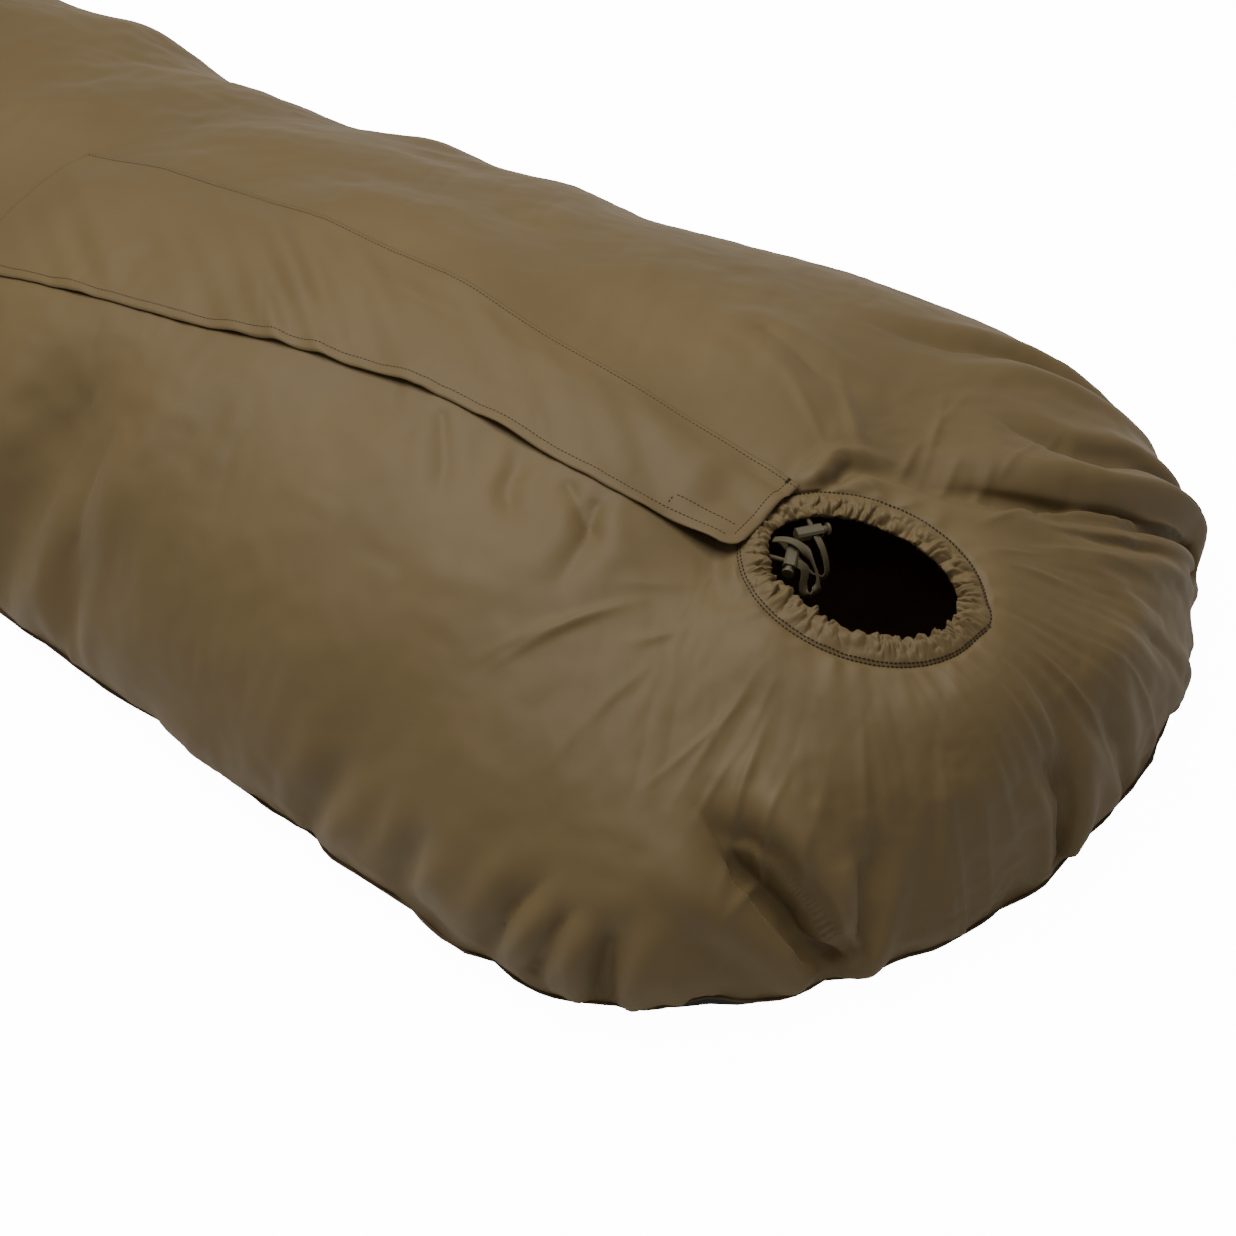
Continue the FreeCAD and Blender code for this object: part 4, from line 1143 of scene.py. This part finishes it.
def add_flap():
    """The storm flap with its hem, its stitch lines, the stitched box over the patch and the bartack."""
    x = np.linspace(FLAP_START, FLAP_END, FLAP_ROWS)
    t = np.linspace(0, 1, FLAP_COLS)
    across, along = np.meshgrid(t, x)
    middle = clear_of_shell(flap_middle(along, across), FLAP_CLEARANCE)
    normal = grid_normals(middle)
    width = flap_sewn_y(along) - flap_free_y(along)
    from_free = (1 - across) * width
    from_end = FLAP_END - along
    from_rim = np.minimum(from_free, from_end)
    hem = np.maximum(1 - smooth((from_free - HEM) / HEM_EDGE), 1 - smooth((from_end - HEM * 0.8) / HEM_EDGE))
    edge = np.minimum(from_rim / HEM_EDGE, 1)
    dip = 0.00035 * np.exp(-((from_rim - STITCH_FROM_END) / HEM_EDGE) ** 2)
    half = (FLAP_GAUGE / 2 + 0.0002 * hem) * np.sqrt(np.clip(1 - (1 - edge) ** 2, 0.06, 1)) - dip
    top = middle + normal * half[:, :, None]
    bottom = middle - normal * half[:, :, None]
    piece = slab("storm_flap_cloth", top, bottom, SHELL_CLOTH)
    row_width = width[:, 0]
    by_free = 1 - STITCH_FROM_FREE / row_width
    by_box = 1 - BOX_FROM_FREE / row_width
    by_sewn = STITCH_FROM_SEWN / row_width
    last_row = int(np.argmax(x > FLAP_END - STITCH_FROM_END))
    box_row = int(np.argmax(x > BOX_START))
    first_col = int(round(by_sewn[last_row] * (FLAP_COLS - 1)))
    last_col = int(round(by_free[last_row] * (FLAP_COLS - 1)))
    box_col = int(round(by_box[box_row] * (FLAP_COLS - 1)))
    lines = [
        (row_line(top, by_free)[:last_row], row_line(normal, by_free)[:last_row]),
        (top[last_row, first_col:last_col], normal[last_row, first_col:last_col]),
        (row_line(top, by_sewn), row_line(normal, by_sewn)),
        (row_line(top, by_box)[box_row:last_row], row_line(normal, by_box)[box_row:last_row]),
        (top[box_row, box_col:last_col], normal[box_row, box_col:last_col]),
    ]
    threads = stitches("storm_flap_stitching", lines)
    add_bartack(top, normal, last_row, by_sewn)
    for part in (piece, threads):
        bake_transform(part)
    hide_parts("storm_flap", "storm_flap_end")


add_flap()

# ---------------------------------------------------------------- under the flap


def laid_strip(name, node, xs, ys, lift, gauge, material):
    """A thin strip laid on the shell or under the flap."""
    x = np.linspace(*xs, max(8, int((xs[1] - xs[0]) / 0.006)))
    y = np.linspace(*ys, 9)
    across, along = np.meshgrid(y, x)
    z = np.minimum(FORM.height(along, across), PIVOT_Z + np.sqrt(ARC_RADIUS ** 2 - (along - PIVOT_X) ** 2))
    base = clear_of_shell(np.stack([along, across, z + lift], axis=-1), lift)
    up = np.array([0, 0, gauge])
    piece = slab(name, base + up, base, material)
    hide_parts(node)
    return piece


def add_under_flap():
    """The facing strip and the hook and loop patches that the flap covers."""
    facing = laid_strip("zip_facing_cloth", "zip_facing", (0.20, 0.835), (-0.088, -0.062), 0.0004, 0.0004,
                        SHELL_CLOTH)
    loops = laid_strip("loop_patch_pile", "loop_patch", (0.762, 0.832), (-0.084, -0.068), 0.0004, 0.0004,
                       PATCH_CLOTH)
    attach(facing, "bag")
    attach(loops, "bag")
    x = np.linspace(0.762, 0.830, 16)
    t = np.linspace(0.56, 0.74, 9)
    across, along = np.meshgrid(t, x)
    under = flap_middle(along, across)
    under[:, :, 2] -= FLAP_GAUGE / 2 + 0.0002
    hooks = slab("hook_patch_pile", under, under - np.array([0, 0, 0.0004]), PATCH_CLOTH)
    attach(hooks, "storm_flap_end")
    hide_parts("hook_patch")


add_under_flap()

# ---------------------------------------------------------------- gathered casing

CASING_AROUND, CASING_ACROSS = 900, 40      # points of the casing's grid
CASING_SEAMS = (1, 3)                       # the rows that its stitches follow


def pleat_pattern(angle, seed, count):
    """Uneven pleats round the opening: 1 on a pleat's top and 0 in the valley, and where it is."""
    rng = np.random.default_rng(seed)
    widths = rng.uniform(0.6, 1.5, count)
    centre = (np.arange(count) + 0.5) / count * 2 * math.pi
    loose = 0.5 * np.exp(-((centre - 2.2) / 0.5) ** 2)
    tight = 0.35 * np.exp(-((np.abs(centre - math.pi) - math.pi) / 0.45) ** 2)
    widths *= 1 + loose - tight
    edges = np.r_[0, np.cumsum(widths)] / widths.sum() * 2 * math.pi
    heights = rng.uniform(0.55, 1.25, count)
    turn = np.mod(angle, 2 * math.pi)
    k = np.clip(np.searchsorted(edges, turn, side="right") - 1, 0, count - 1)
    share = (turn - edges[k]) / (edges[k + 1] - edges[k])
    return np.sin(share * math.pi) ** 0.75 * heights[k]


def add_casing():
    """The tunnel of cloth round the face opening, gathered by the drawcord inside it."""
    turn = np.linspace(0, 2 * math.pi, CASING_AROUND, endpoint=False)
    ways = np.array([np.cos(turn), np.sin(turn)]).T
    inner_lean = 0.10 * cloud(ways, 0.9, 81)
    fine = pleat_pattern(turn + inner_lean, 82, 44)
    wide = pleat_pattern(turn + 0.5 * inner_lean, 83, 24)
    rows = []
    stops = np.linspace(0, 1, CASING_ACROSS)
    for r in stops:
        top = r <= 0.74
        q = r / 0.74 if top else 1.0
        under = 0.0 if top else (r - 0.74) / 0.26
        reach = q ** 0.9
        a_half = CASING_HALF[0] + (HOLE_HALF[0] - CASING_HALF[0]) * reach
        b_half = CASING_HALF[1] + (HOLE_HALF[1] - CASING_HALF[1]) * reach
        puff = 0.0058 * math.sin(math.pi * min(q * 0.86 + 0.03, 1.0)) ** 0.8
        grow = smooth(q / 0.6)
        radial = np.concatenate([ways * 0.060, np.full((CASING_AROUND, 1), 0.012 * q)], axis=1)
        loose = np.abs(cloud(radial, 0.011, 85)) - 0.5
        small = np.abs(cloud(radial, 0.0055, 86)) - 0.5
        pleats = grow * (0.0019 * fine + 0.0011 * wide + 0.0022 * loose + 0.0009 * small)
        pleats = pleats + (1 - grow) * 0.0016 * (wide - 0.6) * smooth(q / 0.2)
        roll = math.sin(under * math.pi / 2)
        height = puff + (pleats - 0.0012 * grow) * (1 - 0.7 * under)
        height = height - roll * 0.0085
        back_out = 0.0042 * (1 - math.cos(under * math.pi))
        in_out = -(0.0012 * fine + 0.0012 * loose) * grow * (1 - 0.5 * under) + 0.0012 + back_out
        if q < 0.12:
            height = height * (q / 0.12) ** 0.5 + 0.0002
        lean = turn + 0.03 * wide * grow * np.sin(turn * 9)
        ring = oval_point(lean, (a_half, b_half))
        rows.append(ring + oval_outward(lean) * in_out[:, None] + np.multiply.outer(height, np.array(FACE_N)))
    grid = np.array(rows)
    point = 0.006 * np.exp(-(((turn + math.pi) % (2 * math.pi) - math.pi - 0.10) / 0.16) ** 2)
    away = np.exp(-(stops / 0.35) ** 2)
    grid += (away[:, None] * point[None, :])[:, :, None] * oval_outward(turn)[None]
    wrinkle = cloud(grid.reshape(-1, 3), 0.012, 84).reshape(grid.shape[:2])
    grid += (0.0003 * wrinkle * smooth(stops / 0.2)[:, None])[:, :, None] * np.array(FACE_N)
    faces = grid_faces(CASING_ACROSS, CASING_AROUND, closed=True)
    piece = add_mesh("face_casing_cloth", grid.reshape(-1, 3), faces, CASING_CLOTH)
    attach(piece, "bag")
    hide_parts("face_casing")
    up = np.tile(np.array(FACE_N), (CASING_AROUND + 1, 1))
    lines = [(np.vstack([grid[row], grid[row][:1]]), up) for row in CASING_SEAMS]
    threads = stitches("casing_stitching", lines, long=0.0029, wide=0.0005, proud=0.0003)
    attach(threads, "bag")


add_casing()

# ---------------------------------------------------------------- floor sheet and sewn edge


FLOOR_SHEET_Z = 0.0007
FLOOR_RINGS = (0.0, 0.15, 0.3, 0.45, 0.6, 0.72, 0.82, 0.9, 0.95, 0.98)   # shares of the way out


def add_floor_sheet():
    """The dark sheet under the bag; its rim turns up to the sewn edge."""
    ground, edge = GRID.ground, GRID.outer_now
    rows = []
    centre_x = np.clip(ground[:, 0], -0.9, 0.9)
    for share in FLOOR_RINGS:
        row = ground.copy()
        row[:, 0] = centre_x + (ground[:, 0] - centre_x) * share
        row[:, 1] = ground[:, 1] * share
        row[:, 2] = FLOOR_SHEET_Z
        rows.append(row)
    rim = ground.copy()
    rim[:, 2] = FLOOR_SHEET_Z + 0.0001
    rows.append(rim)
    mid = (rim + edge) / 2
    mid[:, 2] = 0.0006 + (edge[:, 2] - 0.0004) * 0.45
    rows.append(mid)
    last = edge.copy()
    last[:, 2] -= 0.0006
    rows.append(last)
    grid = np.array(rows)
    faces = grid_faces(len(rows), grid.shape[1], closed=True)
    piece = add_mesh("floor_sheet_cloth", grid.reshape(-1, 3), faces, FLOOR_CLOTH)
    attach(piece, "bag")
    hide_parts("floor_sheet")


# The binding's section: the share of its width, and the height there.
BINDING_SECTION = ((0.0, 0.0006), (0.5, 0.0009), (0.85, 0.0008), (1.0, 0.0), (0.85, -0.0007),
                   (0.5, -0.0008), (0.0, -0.0006))


def add_sewn_edge():
    """A narrow bound seam allowance along the edge, wavy where the cloth is gathered."""
    edge, inward = GRID.outer_now, GRID.inward
    wave = cloud(GRID.along_edge[:, None], 0.035, 91)
    tip = edge - inward * (0.0022 + 0.0006 * wave)[:, None]
    tip[:, 2] = np.maximum(edge[:, 2] - 0.0012 + 0.0009 * wave, 0.0012)
    up = np.array([0, 0, 1.0])
    rows = []
    for share, height in BINDING_SECTION:
        row = edge + (tip - edge) * share + up * height + inward * (0.001 * (1 - share))
        row[:, 2] = np.maximum(row[:, 2], 0.0003)
        rows.append(row)
    grid = np.array(rows)
    faces = grid_faces(len(rows), len(edge), closed=True)
    piece = add_mesh("sewn_edge_binding", grid.reshape(-1, 3), faces, BINDING_CLOTH)
    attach(piece, "bag")
    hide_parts("perimeter_binding")


def add_floor_lining():
    """The brown inner face of the floor sheet, seen from above through the face opening."""
    x = np.linspace(-0.95, 1.06, 150)
    t = np.linspace(-0.93, 0.93, 60)
    across, along = np.meshgrid(t, x)
    half = np.interp(along, FORM.stations, FORM.half) - 0.02
    y = across * half
    flat = np.stack([along.ravel(), y.ravel()], axis=1)
    folds = np.abs(cloud(flat, 0.10, 95).reshape(along.shape))
    z = 0.0026 + 0.006 * folds * (1 - across ** 2)
    piece = add_mesh("floor_lining", np.stack([along, y, z], axis=-1).reshape(-1, 3),
                     grid_faces(*along.shape), LINING_CLOTH)
    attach(piece, "bag")


add_floor_sheet()
add_floor_lining()
add_sewn_edge()

# ---------------------------------------------------------------- zip


def arc_point(angle, across, above):
    """A point at an angle along the zip's arc."""
    radius = ARC_RADIUS + above
    return np.stack([PIVOT_X + radius * np.sin(angle), ZIP_Y + across + 0 * angle,
                     PIVOT_Z + radius * np.cos(angle)], axis=-1)


COIL_PITCH = 0.0017
COIL_WIRE = 0.00034                      # half the wire's thickness
COIL_AWAY, COIL_LOW = 0.00195, -0.0021   # the coil's middle, from the zip's line


def add_coil(name, node, side, phase):
    """A nylon coil, wound along the tape's edge."""
    low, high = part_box(node)
    first = math.asin((low.x - PIVOT_X) / ARC_RADIUS)
    last = math.asin((high.x - PIVOT_X) / ARC_RADIUS)
    turns = int((last - first) * ARC_RADIUS / COIL_PITCH)
    steps = 10
    t = np.linspace(0, 1, turns * steps + 1)
    wind = t * turns * 2 * math.pi + phase
    angle = first + (last - first) * t
    across = side * COIL_AWAY + 0.00098 * np.cos(wind)
    above = COIL_LOW + 0.00078 * np.sin(wind)
    line = arc_point(angle, across, above)
    way = unit(np.gradient(line, axis=0))
    out = unit(line - arc_point(angle, side * COIL_AWAY, COIL_LOW))
    cross = np.cross(way, out)
    sides = 5
    rows = [line + COIL_WIRE * (math.cos(a) * out + math.sin(a) * cross)
            for a in np.arange(sides) * 2 * math.pi / sides]
    grid = np.stack(rows, axis=1)
    piece = add_mesh(name, grid.reshape(-1, 3), grid_faces(len(line), sides, closed=True), COIL_PLASTIC)
    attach(piece, "bag")
    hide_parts(node)


add_coil("zip_coil_near_wound", "zip_coil_near", -1, 0.0)
add_coil("zip_coil_far_wound", "zip_coil_far", +1, math.pi)

# ---------------------------------------------------------------- springs in the cord locks


SPRING_WIRE = 0.00022        # half the wire's thickness
SPRING_TURNS = 6


def node_points(node):
    """The points of a CAD node in the row frame."""
    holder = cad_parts[node]
    return np.array([holder.matrix_world @ v.co for v in holder.data.vertices])


def add_spring(lock):
    """A coil spring that stands on the lock's body and is pressed by its plunger."""
    plunger = node_points(lock + "_plunger")
    way = np.linalg.svd(plunger - plunger.mean(axis=0), full_matrices=False)[2][0]
    bent = node_points(lock + "_spring")
    centre = (bent.max(axis=0) + bent.min(axis=0)) / 2
    way *= np.sign((plunger.mean(axis=0) - centre) @ way)
    reach = (bent - centre) @ way
    out = np.linalg.norm(bent - centre - np.multiply.outer(reach, way), axis=1)
    radius = out.max() - SPRING_WIRE
    side = np.cross(way, np.array(FACE_V))
    side /= np.linalg.norm(side)
    other = np.cross(way, side)
    t = np.linspace(0, 1, SPRING_TURNS * 22 + 1)
    wind = t * SPRING_TURNS * 2 * math.pi
    travel = reach.min() + SPRING_WIRE + (np.ptp(reach) - 2 * SPRING_WIRE) * t
    spoke = np.multiply.outer(np.cos(wind), side) + np.multiply.outer(np.sin(wind), other)
    line = centre + np.multiply.outer(travel, way) + spoke * radius
    rows = [line + SPRING_WIRE * (math.cos(a) * spoke + math.sin(a) * way)
            for a in np.arange(6) * math.pi / 3]
    grid = np.stack(rows, axis=1)
    faces = grid_faces(len(line), 6, closed=True)
    faces += [tuple(range(6))[::-1], tuple(len(line) * 6 - 6 + k for k in range(6))]
    piece = add_mesh(lock + "_coil_spring", grid.reshape(-1, 3), faces, SPRING_STEEL)
    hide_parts(lock + "_spring")
    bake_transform(piece)


for lock in ("cord_lock_a", "cord_lock_b"):
    add_spring(lock)

# ---------------------------------------------------------------- carried-over CAD nodes

KEPT_NODES = {
    TAPE_CLOTH: ("zip_tape_near", "zip_tape_far"),
    SLIDER_PAINT: ("zip_slider_body", "zip_pull_outer", "zip_pull_inner", "zip_top_stop_near",
                   "zip_top_stop_far", "zip_bottom_stop"),
    LOCK_PLASTIC: ("cord_lock_a_body", "cord_lock_b_body", "cord_lock_a_plunger", "cord_lock_b_plunger"),
    CORD_CLOTH: ("face_drawcord",),
}


def dress_kept_nodes():
    """Gives the CAD nodes that stay visible their materials."""
    for material, nodes in KEPT_NODES.items():
        for node in nodes:
            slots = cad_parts[node].material_slots
            for slot in slots:
                slot.material = material
            if not slots:
                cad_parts[node].data.materials.append(material)


dress_kept_nodes()
